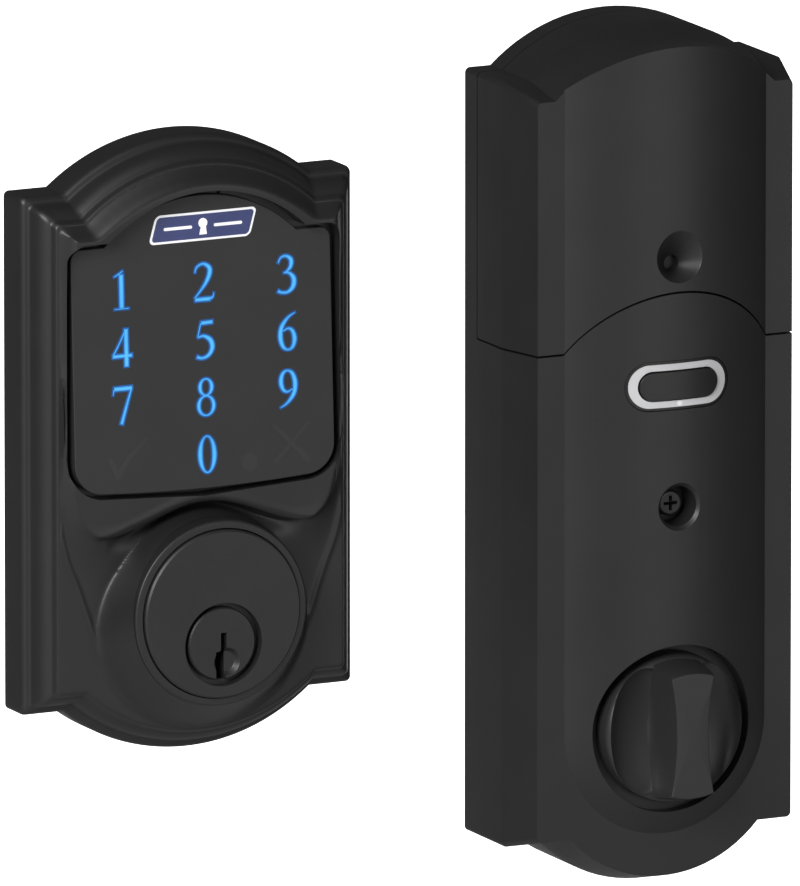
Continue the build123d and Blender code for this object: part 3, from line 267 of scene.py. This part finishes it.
paint = {
    "black_metal": surface("black_paint", grey(0.015, 0.017), (0.40, 0.46), size=2600, height=0.22),
    "cylinder_face": turned("black_turned", grey(0.016, 0.019), (0.42, 0.48), (0, 0, 0), 0.0006, 0.10),
    "touch_lens": surface("touch_panel", grey(0.022, 0.024), (0.50, 0.56), size=3200, height=0.12),
    "light_guide": surface("milky_plastic", grey(0.60, 0.66), (0.42, 0.5), height=0.1),
    "lamp": surface("white_lamp", grey(0.88, 0.95), (0.3, 0.36), height=0.05),
    "button_black": surface("button_black", grey(0.010, 0.012), (0.28, 0.34), height=0.06),
    "steel": surface("plated_steel", grey(0.50, 0.58), (0.28, 0.42), 1.0, 900, 0.5, (1, 1, 0.05)),
    "black_steel": surface("black_oxide", grey(0.020, 0.026), (0.3, 0.38), size=1800, height=0.2),
    "brass": surface("turned_brass", [(0.66, 0.47, 0.2), (0.74, 0.55, 0.26)], (0.24, 0.34),
                     1.0, 1800, 0.2),
    "gasket": surface("foam_rubber", grey(0.022, 0.030), (0.8, 0.9), size=1500, height=1.0),
    "board": surface("circuit_board", [(0.012, 0.11, 0.05), (0.02, 0.16, 0.07)], (0.35, 0.45),
                     size=900),
    "chip": surface("moulded_black", grey(0.018, 0.024), (0.45, 0.55), size=3000, height=0.4),
    "gear_plastic": surface("acetal", [(0.76, 0.73, 0.66), (0.83, 0.80, 0.73)], (0.3, 0.38),
                            height=0.08),
    "chassis_plastic": surface("black_nylon", grey(0.030, 0.038), (0.45, 0.55), size=2000, height=0.4),
    "battery": surface("battery_sleeve", [(0.05, 0.06, 0.08), (0.07, 0.08, 0.10)], (0.25, 0.32),
                       height=0.05),
}
for item in frame["record"]["subparts"]:
    node = frame["nodes"][item["node"]]
    node.data.materials.clear()
    node.data.materials.append(paint[item["material_slot"]])
print("materials", sorted(m.name for m in paint.values()))

# %% [markdown]
# ## Soft edges on the plain pieces
# Cast and painted metal never has a knife edge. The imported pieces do, so each one that shows is
# copied, its doubled points are merged and its flat areas joined, and a narrow bevel goes round
# every sharp edge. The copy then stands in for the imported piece.


# %% Softened copies
SMOOTH_ANGLE, EDGE_ANGLE, JOIN_ANGLE = math.radians(35), math.radians(28), math.radians(0.6)
MERGE_GAP = 0.000004


def only(obj):
    """Select one object and make it the active one."""
    bpy.ops.object.select_all(action="DESELECT")
    obj.select_set(True)
    bpy.context.view_layer.objects.active = obj


def apply_modifier(obj, kind, **values):
    """Add a modifier with these values and apply it."""
    only(obj)
    modifier = obj.modifiers.new(kind.lower(), kind)
    for key, value in values.items():
        setattr(modifier, key, value)
    bpy.ops.object.modifier_apply(modifier=modifier.name)


def finish_looks(piece, material):
    """Round the shading below a set angle, weigh it by face size and give one material."""
    only(piece)
    bpy.ops.object.shade_smooth_by_angle(angle=SMOOTH_ANGLE)
    apply_modifier(piece, "WEIGHTED_NORMAL", mode="FACE_AREA", weight=80, keep_sharp=True)
    piece.data.materials.clear()
    piece.data.materials.append(material)


def soften(node, body, material_slot, width):
    """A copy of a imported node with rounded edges, standing in for it."""
    piece = bpy.data.objects.new(node + "_soft", frame["nodes"][node].data.copy())
    bpy.context.scene.collection.objects.link(piece)
    only(piece)
    bpy.ops.object.mode_set(mode="EDIT")
    bpy.ops.mesh.select_all(action="SELECT")
    bpy.ops.mesh.remove_doubles(threshold=MERGE_GAP)
    bpy.ops.mesh.dissolve_limited(angle_limit=JOIN_ANGLE)
    bpy.ops.mesh.normals_make_consistent(inside=False)
    bpy.ops.object.mode_set(mode="OBJECT")
    apply_modifier(piece, "BEVEL", width=width * MM, segments=3, limit_method="ANGLE",
                   angle_limit=EDGE_ANGLE, use_clamp_overlap=True, harden_normals=False)
    finish_looks(piece, paint[material_slot])
    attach(piece, body)
    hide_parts(node)
    print(piece.name, len(piece.data.polygons), "faces")


for piece_name, piece_body, piece_slot, edge_width in (
    ("inside_housing", "lock_body", "black_metal", 0.55),
    ("battery_cover", "cover", "black_metal", 0.5),
    ("cylinder_guard_ring", "lock_body", "black_metal", 0.3),
    ("cylinder_body", "lock_body", "cylinder_face", 0.25),
    ("cylinder_plug", "key_plug", "cylinder_face", 0.25),
    ("button_cap", "button", "button_black", 0.2),
    ("button_light_ring", "lock_body", "light_guide", 0.3),
    ("button_frame", "lock_body", "button_black", 0.25),
    ("touchscreen_lens", "lock_body", "touch_lens", 0.25),
):
    soften(piece_name, piece_body, piece_slot, edge_width)

# %% [markdown]
# ## The outside cover
# The cast cover is one flowing surface: a moulded edge, a flat field, a cone round the cylinder, a
# raised panel round the touchscreen whose lower edge waves over the cylinder, and a hollow under
# that wave. It could be cut from a block with many booleans, but the soft meetings would be lost.
# So it is laid out as rings that follow the outline inwards, each with its own depth, and past the
# moulding every point asks a height rule how far it stands out from the door.

# %% The outline and its moulding
HALF_WIDTH, SHOULDER, LOW_SHOULDER = 41.0, 95.1, -23.2
ARCH_RISE, ARCH_RADIUS, CORNER = 11.0, 47.8, 1.2
SIDE_POINTS, ARCH_POINTS = 250, 40
FIELD, PANEL, RIM = 16.1, 18.6, 6.0


def spread(start, end, count):
    """Points from start up to, but not at, end."""
    t = np.linspace(0, 1, count, endpoint=False)[:, None]
    return np.array(start) * (1 - t) + np.array(end) * t


def arc(centre, radius, start, end, count):
    """Points along an arc, angles in degrees, up to but not at its end."""
    t = np.radians(np.linspace(start, end, count, endpoint=False))
    return np.stack([centre[0] + radius * np.cos(t), centre[1] + radius * np.sin(t)], 1)


def side_heights(high, low, count):
    """Heights down a side, three times closer together beside the touchscreen's lower edge."""
    z = np.linspace(high, low, 400)
    density = 1 + 2.2 * np.exp(-(((z - 25) / 11) ** 4))
    grown = np.concatenate([[0], np.cumsum((density[1:] + density[:-1]) / 2)])
    return np.interp(np.linspace(0, grown[-1], count, endpoint=False), grown, z)


def outline(inset):
    """The cover's outline moved in by an inset, in millimetres, with the same count every time."""
    w, high, low = HALF_WIDTH - inset, SHOULDER - inset, LOW_SHOULDER + inset
    radius = ARCH_RADIUS - inset
    chord = math.sqrt(radius**2 - (radius - ARCH_RISE) ** 2)
    swing = math.degrees(math.asin(chord / radius))
    high_centre, low_centre = high + ARCH_RISE - radius, low - ARCH_RISE + radius
    right = np.concatenate([
        arc((0, high_centre), radius, 90, 90 - swing, ARCH_POINTS),
        spread((chord, high), (w - CORNER, high), 10),
        arc((w - CORNER, high - CORNER), CORNER, 90, 0, 6),
        np.stack([np.full(SIDE_POINTS, w), side_heights(high - CORNER, low + CORNER, SIDE_POINTS)], 1),
        arc((w - CORNER, low + CORNER), CORNER, 0, -90, 6),
        spread((w - CORNER, low), (chord, low), 10),
        arc((0, low_centre), radius, swing - 90, -90, ARCH_POINTS),
        [(0, low - ARCH_RISE)],
    ])
    left = right[1:-1][::-1] * (-1, 1)
    return np.concatenate([right, left])


moulding = np.array([
    (0, 0), (0, 7.2), (0.25, 8.4), (0.9, 9.1), (1.5, 9.3), (1.9, 9.7), (2.2, 10.6), (2.7, 12.2),
    (3.4, 13.3), (4.2, 14.1), (4.7, 14.4), (5.0, 14.9), (5.3, 15.6), (5.6, 16.0), (RIM, FIELD),
])


def through(points, steps):
    """A smooth curve through the points, with so many steps between neighbours."""
    points = np.array(points, float)
    padded = np.concatenate([points[:1], points, points[-1:]])
    rows = []
    for a, b, c, d in zip(padded, padded[1:], padded[2:], padded[3:]):
        for t in np.linspace(0, 1, steps, endpoint=False):
            rows.append(0.5 * (2 * b + (c - a) * t + (2 * a - 5 * b + 4 * c - d) * t**2
                               + (3 * b - a - 3 * c + d) * t**3))
    return np.array(rows + [points[-1]])


edge_profile = np.concatenate([moulding[:1], through(moulding[1:], 2)])
print("outline", len(outline(0)), "points, moulding", len(edge_profile), "rings")

# %% The height rule
foot = through([
    (38, 50), (36.8, 36), (35.4, 24), (33.5, 14), (30.6, 6.5),
    (28.3, 0), (25.8, -6.5), (18, -21), (0, -28.6),
], 8)
wave_x = np.linspace(0, 24.0, 40)
wave = np.concatenate([
    np.stack([wave_x, 17.4 + 6.2 * np.cos(np.pi * wave_x / 49) ** 2], 1),
    through([
        (24.8, 17.45), (27.6, 18.3), (30.6, 21.3), (32.3, 26.2), (33.4, 34), (34.3, 46), (36.5, 110),
    ], 5),
])
CONE_TOP = 20.9
CONE_FOOT = ((-90, -45, -20, -7, 8, 25, 45, 90), (28.6, 28.2, 27.6, 26.6, 25, 23.4, 22.7, 22.4))


def mirrored(line):
    """An open line on the right, joined to its mirror image on the left."""
    return np.concatenate([line[::-1] * (-1, 1), line])


def distance(points, line):
    """Each point's distance to a line of short straight pieces."""
    best = np.full(len(points), 1e9)
    for a, b in zip(line, line[1:]):
        along = b - a
        t = np.clip((points - a) @ along / max(along @ along, 1e-12), 0, 1)
        best = np.minimum(best, np.linalg.norm(points - a - t[:, None] * along, axis=1))
    return best


def fade(value):
    """Runs smoothly from 0 to 1 as its value does."""
    value = np.clip(value, 0, 1)
    return value * value * (3 - 2 * value)


def height(points):
    """How far out from the door the cover stands at each (x, z), in millimetres."""
    x, z = points[:, 0], points[:, 1]
    ax, r = np.abs(x), np.hypot(x, z)
    cone_foot = np.interp(np.degrees(np.arctan2(z, ax)), *CONE_FOOT)
    u = np.clip((r - CONE_TOP) / (cone_foot - CONE_TOP), 0, 1)
    cone = FIELD - 0.1 + 10.9 * (1 - u) ** 1.12
    in_panel = z > np.interp(ax, wave[:, 0], wave[:, 1])
    d1 = distance(points, mirrored(wave))
    in_foot = ax < np.interp(z, foot[::-1, 1], foot[::-1, 0], left=0)
    to_foot = distance(points, mirrored(foot))
    d2 = np.where(in_foot, to_foot, 0)
    v = d2 / (d1 + d2 + 1e-6)
    flare = FIELD + 2.4 * v**1.3 + 0.7 * np.exp(-(to_foot / 0.7) ** 2)
    scoop = np.clip(1 - (x / 24) ** 2, 0, 1) * np.exp(-(d1 / 2.5) ** 2)
    below = np.logaddexp(np.logaddexp(2 * cone, 2 * flare), 2 * FIELD) / 2 - 0.5 - 4.5 * scoop
    below = np.where(r < CONE_TOP, cone, below)
    rim = outline(RIM)[::4]
    rim_gap = distance(points, np.concatenate([rim, rim[:1]]))
    rise = 3.2 + 1.4 * fade((z - 78) / 14)
    panel = FIELD + (PANEL + 1.5 * fade((z - 70) / 25) - FIELD) * fade(rim_gap / rise + 0.12)
    panel = panel + 1.6 * np.clip(1 - (x / 30) ** 2, 0, 1) * (1 - np.clip(d1 / 3.5, 0, 1)) ** 2
    roll = np.clip(1.3 - (x / 25) ** 4, 0, 1)
    panel = panel - (0.4 + 1.5 * roll) * (1 - np.clip(d1 / (0.8 + 1.8 * roll), 0, 1)) ** 2
    step = fade(0.5 + np.where(in_panel, d1, -d1) / 1.1)
    return below * (1 - step) + panel * step


print("heights at centre line", height(np.array([(0.0, z) for z in (-30, -26, 22.5, 24, 60)])).round(1))


# %% The ring mesh
def loft(name, loops):
    """A closed mesh through a list of loops of 3-D points in millimetres, its ends drawn together."""
    count = len(loops[0])
    mesh = bpy.data.meshes.new(name)
    faces = []
    for low in range(0, (len(loops) - 1) * count, count):
        for j in range(count):
            k = (j + 1) % count
            faces.append((low + j, low + k, low + count + k, low + count + j))
    mesh.from_pydata((np.concatenate(loops) * MM).tolist(), [], faces)
    piece = bpy.data.objects.new(name, mesh)
    bpy.context.scene.collection.objects.link(piece)
    only(piece)
    bpy.ops.object.mode_set(mode="EDIT")
    bpy.ops.mesh.select_all(action="SELECT")
    bpy.ops.mesh.remove_doubles(threshold=0.00001)
    bpy.ops.mesh.normals_make_consistent(inside=False)
    bpy.ops.object.mode_set(mode="OBJECT")
    return piece


def at_depth(points, depth):
    """Flat points set at one depth, or each at its own, in front of the door."""
    outward = np.broadcast_to(-np.asarray(depth, float), len(points))
    return np.stack([points[:, 0], outward, points[:, 1]], 1)


def toward_spine(points, share):
    """Points moved a share of the way to the cover's middle line."""
    spine = np.stack([np.zeros(len(points)), np.clip(0.8 * points[:, 1], 0, 60)], 1)
    return points * (1 - share) + spine * share


FIELD_RINGS = 75
roof = outline(7.4)
loops = [at_depth(toward_spine(roof, s), 12.0) for s in (1.0, 0.5, 0.0)]
loops += [at_depth(outline(5.0), 10.5), at_depth(outline(2.6), 8.0), at_depth(outline(2.6), 0.0)]
loops += [at_depth(outline(i), d) for i, d in edge_profile]
inner = outline(RIM)
for share in np.linspace(0, 1, FIELD_RINGS + 1)[1:]:
    ring = toward_spine(inner, share)
    loops.append(at_depth(ring, height(ring)))
escutcheon = loft("escutcheon_cast", loops)
print("rings", len(loops), "faces", len(escutcheon.data.polygons))


# %% Cut the window and the cylinder's bore
def prism(name, points, start, end):
    """A solid with a flat outline, from one depth to another."""
    middle = points.mean(0)
    return loft(name, [
        at_depth(np.broadcast_to(middle, points.shape), start), at_depth(points, start),
        at_depth(points, end), at_depth(np.broadcast_to(middle, points.shape), end),
    ])


def lens_outline(margin):
    """The touchscreen's outline, grown by a margin."""
    w, high, low, chord, apex = 32.1, 83.5, 28.4, 23.75, 93.4
    top_corner, low_corner = 2.5, 7
    top_radius = (chord**2 + (apex - high) ** 2) / (2 * (apex - high))
    swing = math.degrees(math.asin(chord / top_radius))
    right = np.concatenate([
        arc((0, apex - top_radius), top_radius, 90, 90 - swing, 30),
        spread((chord, high), (w - top_corner, high), 6),
        arc((w - top_corner, high - top_corner), top_corner, 90, 0, 8),
        spread((w, high - top_corner), (w, low + low_corner), 30),
        arc((w - low_corner, low + low_corner), low_corner, 0, -82, 14),
        spread((w - 6, low - 0.05), (0, low - 1.4), 16),
        [(0, low - 1.4)],
    ])
    whole = np.concatenate([right, right[1:-1][::-1] * (-1, 1)])
    along = np.roll(whole, -1, 0) - np.roll(whole, 1, 0)
    outward = np.stack([-along[:, 1], along[:, 0]], 1) / np.linalg.norm(along, axis=1)[:, None]
    return whole + margin * outward


def circle(radius):
    """Points round the cylinder's axis."""
    return arc((0, 0), radius, 0, 360, 128)


cuts = [
    prism("window", lens_outline(1.6), 13.8, 40), prism("ledge", lens_outline(-1.9), 5, 13.9),
    prism("bore", circle(19.3), -5, 22), prism("guard_seat", circle(21.25), 21.0, 40),
]
for cut in cuts:
    apply_modifier(escutcheon, "BOOLEAN", object=cut, operation="DIFFERENCE", solver="EXACT")
    bpy.data.objects.remove(cut)
only(escutcheon)
bpy.ops.object.shade_smooth_by_angle(angle=math.radians(38))
escutcheon.data.materials.clear()
escutcheon.data.materials.append(paint["black_metal"])
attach(escutcheon, "lock_body")
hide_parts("escutcheon")
print("escutcheon", len(escutcheon.data.polygons), "faces")

# %% [markdown]
# ## Lit numbers
# The touchscreen shows ten numbers in a fine serif face. Text objects would need a font, so each
# number is drawn as a few pen strokes, every point with its own pen width. A stroke becomes a thin
# ribbon on the screen. Three ribbons lie over each other, dark blue, mid blue and a pale core, and
# they make the soft glow of a lamp behind the panel.

# %% Pen strokes
TILT = math.radians(2.7)
NUMBER_TALL = 8.8
screen_normal = np.array([0, -math.cos(TILT), math.sin(TILT)])


def on_screen(points, lift):
    """Flat points in millimetres, laid on the leaning touchscreen and lifted off it."""
    x, z = points[:, 0], points[:, 1]
    depth = 17.3 - np.tan(TILT) * (z - 55.0)
    return np.stack([x, -depth, z], 1) + lift * screen_normal


def ribbon(stroke, thinner, closed=False):
    """The two edges of one pen stroke, made narrower by an amount."""
    stroke = np.array(stroke, float)
    if closed:
        stroke = np.concatenate([stroke[-1:], stroke, stroke[:2]])
        line = through(stroke, 8)[8:-8]
    else:
        line = through(stroke, 6)
    along = np.gradient(line[:, :2], axis=0)
    along = along / np.maximum(np.linalg.norm(along, axis=1), 1e-9)[:, None]
    half = np.maximum(line[:, 2] - thinner, 0.06)[:, None] / 2
    across = np.stack([-along[:, 1], along[:, 0]], 1) * half
    if not closed:
        trim = min(thinner / 2, 0.3)
        line[0, :2] += along[0] * trim
        line[-1, :2] -= along[-1] * trim
    return line[:, :2] + across, line[:, :2] - across


def oval(cx, cy, rx, ry, side, end):
    """A closed stroke round an oval, wide at its sides and thin at its ends."""
    turns = np.linspace(0, 2 * np.pi, 16, endpoint=False)
    width = end + (side - end) * np.cos(turns) ** 2
    return ("closed", np.stack([cx + rx * np.cos(turns), cy + ry * np.sin(turns), width], 1))


def turned_over(strokes):
    """Strokes turned half round about a number's middle."""
    return [[(-x, NUMBER_TALL - y, w) for x, y, w in stroke] for stroke in strokes]


six = [[(2.1, 8.6, .3), (.3, 7.6, .7), (-1.3, 5.6, 1.15), (-1.7, 3.2, 1.25), (-1.1, 1.1, 1.0),
        (.1, .3, .6), (1.3, .9, .95), (1.8, 2.7, 1.2), (1.3, 4.5, .95), (.2, 5.1, .6), (-1.1, 4.5, .45)]]
numbers = {
    "1": [[(.1, .25, 1.25), (.1, 8.0, 1.25)], [(-1.7, 7.45, .3), (-.4, 8.1, .5), (.55, 8.75, .35)],
          [(-1.75, .18, .36), (1.95, .18, .36)]],
    "2": [[(-2.1, 6.6, .45), (-1.6, 7.9, .6), (0, 8.55, .75), (1.45, 7.6, 1.15), (1.5, 6.2, 1.2),
           (.6, 4.3, .95), (-.9, 2.4, .6), (-2.3, .9, .45)],
          [(-2.3, .55, 1.0), (1.6, .55, 1.05)], [(1.4, .6, .9), (2.2, .9, .5), (2.5, 1.9, .25)]],
    "3": [[(-1.9, 7.0, .4), (-1.2, 8.2, .55), (.1, 8.5, .75), (1.3, 7.6, 1.1), (1.2, 6.1, 1.0),
           (.2, 5.0, .6), (-.6, 4.7, .4)],
          [(-.6, 4.75, .4), (.8, 4.6, .75), (1.9, 3.3, 1.25), (1.7, 1.5, 1.2), (.4, .35, .8),
           (-1.2, .35, .75), (-2.1, .8, .85)]],
    "4": [[(1.0, 8.6, .5), (-.8, 5.2, .5), (-2.3, 2.75, .5)], [(-2.5, 2.55, .95), (2.5, 2.55, .95)],
          [(1.0, 0, 1.2), (1.0, 8.7, 1.2)]],
    "5": [[(-.9, 8.2, 1.0), (2.1, 8.3, .95)], [(-.9, 8.3, .4), (-1.75, 5.0, .4)],
          [(-1.75, 5.0, .5), (-.2, 5.25, .8), (1.4, 4.2, 1.2), (1.8, 2.5, 1.2), (.9, .9, .95),
           (-.7, .3, .75), (-2.1, .7, .9)]],
    "6": six,
    "7": [[(-2.3, 8.1, 1.05), (2.3, 8.1, 1.1)], [(-2.3, 8.0, .4), (-2.5, 6.7, .3)],
          [(2.15, 8.3, .5), (.9, 4.6, .75), (-.6, 0, .95)]],
    "8": [oval(0, 6.6, 1.45, 1.85, 1.0, .5), oval(0, 2.4, 1.85, 2.2, 1.0, .5)],
    "9": turned_over(six),
    "0": [oval(0, 4.4, 1.75, 4.1, 1.25, .5)],
}
print("numbers", sorted(numbers))


# %% Ribbons on the screen
STROKE_STEP = 0.005


def drawing(name, placed, layers, body, materials):
    """Thin solid ribbons for strokes at (x, z) places, one layer for each narrowing."""
    verts, faces, kinds = [], [], []
    for kind, (thinner, bottom, top) in enumerate(layers):
        for (x, z), strokes in placed:
            for order, stroke in enumerate(strokes):
                closed = isinstance(stroke, tuple)
                left, right = ribbon(stroke[1] if closed else stroke, thinner, closed)
                n, start = len(left), len(verts)
                crown = top + STROKE_STEP * order
                for side, lift in ((left, crown), (right, crown), (left, bottom), (right, bottom)):
                    verts.extend((on_screen(side + (x, z), lift) * MM).tolist())
                for i in range(n if closed else n - 1):
                    j = (i + 1) % n
                    a, b = start + i, start + j
                    for p, q in ((0, n), (n, 3 * n), (3 * n, 2 * n), (2 * n, 0)):
                        faces.append((a + p, b + p, b + q, a + q))
                if not closed:
                    a, b = start, start + n - 1
                    faces.append((a, a + n, a + 3 * n, a + 2 * n))
                    faces.append((b, b + 2 * n, b + 3 * n, b + n))
                kinds.extend([kind] * (len(faces) - len(kinds)))
    mesh = bpy.data.meshes.new(name)
    mesh.from_pydata(verts, [], faces)
    piece = bpy.data.objects.new(name, mesh)
    bpy.context.scene.collection.objects.link(piece)
    for material in materials:
        mesh.materials.append(material)
    mesh.polygons.foreach_set("material_index", kinds)
    only(piece)
    bpy.ops.object.mode_set(mode="EDIT")
    bpy.ops.mesh.select_all(action="SELECT")
    bpy.ops.mesh.normals_make_consistent(inside=False)
    bpy.ops.object.mode_set(mode="OBJECT")
    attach(piece, body)
    print(name, len(faces), "faces")


def glowing(name, dark, light, strength):
    """A lit material whose colour drifts a little over each number."""
    material = surface(name, (dark, light), (0.5, 0.6), size=900, height=0.05)
    nodes, links = material.node_tree.nodes, material.node_tree.links
    ramp = next(n for n in nodes if n.type == "VALTORGB")
    links.new(ramp.outputs["Color"], nodes["Principled BSDF"].inputs["Emission Color"])
    nodes["Principled BSDF"].inputs["Emission Strength"].default_value = strength
    return material


blues = [
    glowing("blue_rim", (0.005, 0.055, 0.20), (0.007, 0.068, 0.24), 0.55),
    glowing("blue_middle", (0.025, 0.20, 0.50), (0.035, 0.24, 0.57), 0.62),
    glowing("blue_core", (0.05, 0.32, 0.66), (0.07, 0.37, 0.74), 0.66),
]
columns, rows = (-19.9, 0.5, 20.9), (73.6, 60.6, 47.7, 34.7)
HALF_TALL = 4.4
placed = [
    ((columns[i % 3], rows[i // 3] - HALF_TALL), numbers[n]) for i, n in enumerate("123456789")
] + [((columns[1], rows[3] - HALF_TALL), numbers["0"])]
number_layers = [(-0.5, 0, 0.03), (0.15, 0, 0.06), (0.65, 0, 0.09)]
drawing("key_numbers", placed, number_layers, "lock_body", blues)

symbols = [
    ((-19, 35.4), [[(-4.8, .5, .7), (-3.6, -1.4, 1.3), (-2.5, -4.2, 1.4)],
                   [(-2.9, -4.3, 1.3), (0, 0, 1.2), (4.8, 4.3, .5)]]),
    ((21.8, 35.4), [[(-4.7, 4.4, .8), (-.4, 0, 1.1), (4, -4.4, 1.4)],
                    [(4, 4.4, .7), (-.2, .1, .9), (-4.5, -4, 1.0)]]),
    ((11, 32), [oval(0, 0, 1.0, 1.0, 2.0, 2.0)]),
]
unlit_grey = surface("unlit_grey", grey(0.029, 0.031), (0.5, 0.56), size=3000, height=0.1)
drawing("unlit_symbols", symbols, [(0, 0, 0.03)], "lock_body", [unlit_grey])

# %% [markdown]
# ## The badge
# A small printed plate sits at the top of the screen. It carries no name: only a plain keyhole sign
# and two short bars inside a light border. The light print is given a faint glow, which is painted
# light. It is made of flat plates laid at three levels, each a little higher than the last.


# %% Badge layers
def rounded_bar(width, tall, radius, lean=0.0):
    """A rounded bar's outline round the origin, leaning by an amount at its top."""
    w, h = width / 2 - radius, tall / 2 - radius
    points = np.concatenate([
        arc((w, h), radius, 90, 0, 8), arc((w, -h), radius, 0, -90, 8),
        arc((-w, -h), radius, -90, -180, 8), arc((-w, h), radius, -180, -270, 8),
    ])
    return points + np.stack([points[:, 1] * lean, np.zeros(len(points))], 1)


def screen_plate(name, points, bottom, top, material):
    """A flat plate on the touchscreen, from one lift to another."""
    middle = np.broadcast_to(points.mean(0), points.shape)
    plate = loft(name, [
        on_screen(middle, bottom), on_screen(points, bottom),
        on_screen(points, top), on_screen(middle, top),
    ])
    plate.data.materials.append(material)
    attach(plate, "lock_body")


BADGE, BADGE_LEAN = np.array([0.6, 86.3]), 0.30
# The badge's light print glows a little: painted light, as the print has no lamp of its own.
badge_painted_glow = glowing("badge_border_painted_glow", (0.80, 0.80, 0.82), (0.88, 0.88, 0.90), 0.35)
badge_blue = surface("badge_fill", [(0.035, 0.05, 0.17), (0.045, 0.06, 0.20)], (0.32, 0.4), height=0.05)
screen_plate("badge_border_painted_glow", rounded_bar(25.0, 6.5, 1.3, BADGE_LEAN) + BADGE, 0.0, 0.12, badge_painted_glow)
screen_plate("badge_fill", rounded_bar(24.0, 5.5, 0.9, BADGE_LEAN) + BADGE, 0.1, 0.15, badge_blue)
sign = np.concatenate([
    arc((0, 0.7), 1.1, 240, -60, 28), [(0.95, -1.9), (-0.95, -1.9)],
])
screen_plate("badge_keyhole", sign + BADGE, 0.14, 0.18, badge_painted_glow)
for side, name in ((-1, "badge_line_left"), (1, "badge_line_right")):
    screen_plate(name, rounded_bar(7.0, 0.7, 0.3) + BADGE + (side * 6.2, 0), 0.14, 0.18, badge_painted_glow)

# %% [markdown]
# ## The thumbturn
# The thumbturn is a drum with a waisted bar across its front. A thumb scoop is hollowed out on each
# side of the bar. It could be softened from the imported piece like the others, but such smooth scoops
# need closer-set points. So the drum is lofted afresh, two long egg shapes cut the scoops, and the bar
# is laid over them.

# %% Drum, scoops and bar
TURN_X, TURN_Z = 108.4, -35.0
SCOOP_SIDE, SCOOP_Y, SCOOP_RADII = 8.0, -37.0, (8.3, 4.0, 14.8)
STRAIGHT_SHARE, BOW_SHARE = 0.94, 0.06
turn_low, turn_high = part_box("thumbturn")
turn_back, turn_front = -turn_high[1] / MM, -turn_low[1] / MM
centre = np.array([TURN_X, TURN_Z])
sections = [
    (0.0, turn_back), (17.2, turn_back), (17.2, 35.0), (17.1, 35.7), (16.8, 36.3), (16.4, 36.7),
    (15.9, 36.8), (0.0, 36.8),
]
drum = loft("thumbturn_drum", [at_depth(circle(max(r, 0.001)) + centre, d) for r, d in sections])

for side in (-1, 1):
    bpy.ops.object.select_all(action="DESELECT")
    bpy.ops.mesh.primitive_uv_sphere_add(
        segments=96, ring_count=48, radius=1.0,
        location=((TURN_X + side * SCOOP_SIDE) * MM, SCOOP_Y * MM, TURN_Z * MM),
        scale=tuple(radius * MM for radius in SCOOP_RADII),
    )
    scoop = bpy.context.object
    apply_modifier(drum, "BOOLEAN", object=scoop, operation="DIFFERENCE", solver="EXACT")
    bpy.data.objects.remove(scoop)


def bar_outline(middle, end, reach):
    """The bar's outline: waisted sides and round ends."""
    z = np.linspace(-1, 1, 41) * reach * STRAIGHT_SHARE
    width = middle + (end - middle) * (z / (reach * STRAIGHT_SHARE)) ** 2
    right = np.stack([width, z], 1)
    top_x = np.linspace(width[-1], -width[-1], 15)[1:-1]
    bow = reach * BOW_SHARE * (1 - (top_x / width[-1]) ** 2) + reach * STRAIGHT_SHARE
    top = np.stack([top_x, bow], 1)
    return np.concatenate([right, top, -right, -top]) + centre


steps = [
    (6.0, 6.4, 14.0, 32.9), (5.2, 6.0, 14.8, 33.3), (4.7, 5.9, 15.4, 34.0), (4.4, 5.8, 15.9, 35.2),
    (4.3, 5.7, 16.2, 36.9), (4.1, 5.5, 15.0, 43.0), (4.0, 5.4, 14.5, turn_front - 0.5),
    (3.9, 5.3, 14.35, turn_front - 0.15), (3.65, 5.05, 14.1, turn_front),
]
bar_loops = [at_depth(bar_outline(m, e, r), d) for m, e, r, d in steps]
bar_middle = np.broadcast_to(centre, (len(bar_loops[0]), 2))
bar = loft("thumbturn_bar", [
    at_depth(bar_middle, steps[0][3]), *bar_loops, at_depth(bar_middle, steps[-1][3]),
])
apply_modifier(drum, "BOOLEAN", object=bar, operation="UNION", solver="EXACT")
bpy.data.objects.remove(bar)
apply_modifier(drum, "BEVEL", width=0.25 * MM, segments=2, limit_method="ANGLE",
               angle_limit=math.radians(50))
# A lighter copy of the black paint: painted light, so the thumbturn's front reads brighter than the
# cover under the same lamps.
handle_paint_painted_light = surface("black_handle_painted_light", grey(0.024, 0.027), (0.38, 0.44), size=2600, height=0.15)
finish_looks(drum, handle_paint_painted_light)
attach(drum, "turn")
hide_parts("thumbturn")
print("thumbturn", len(drum.data.polygons), "faces")
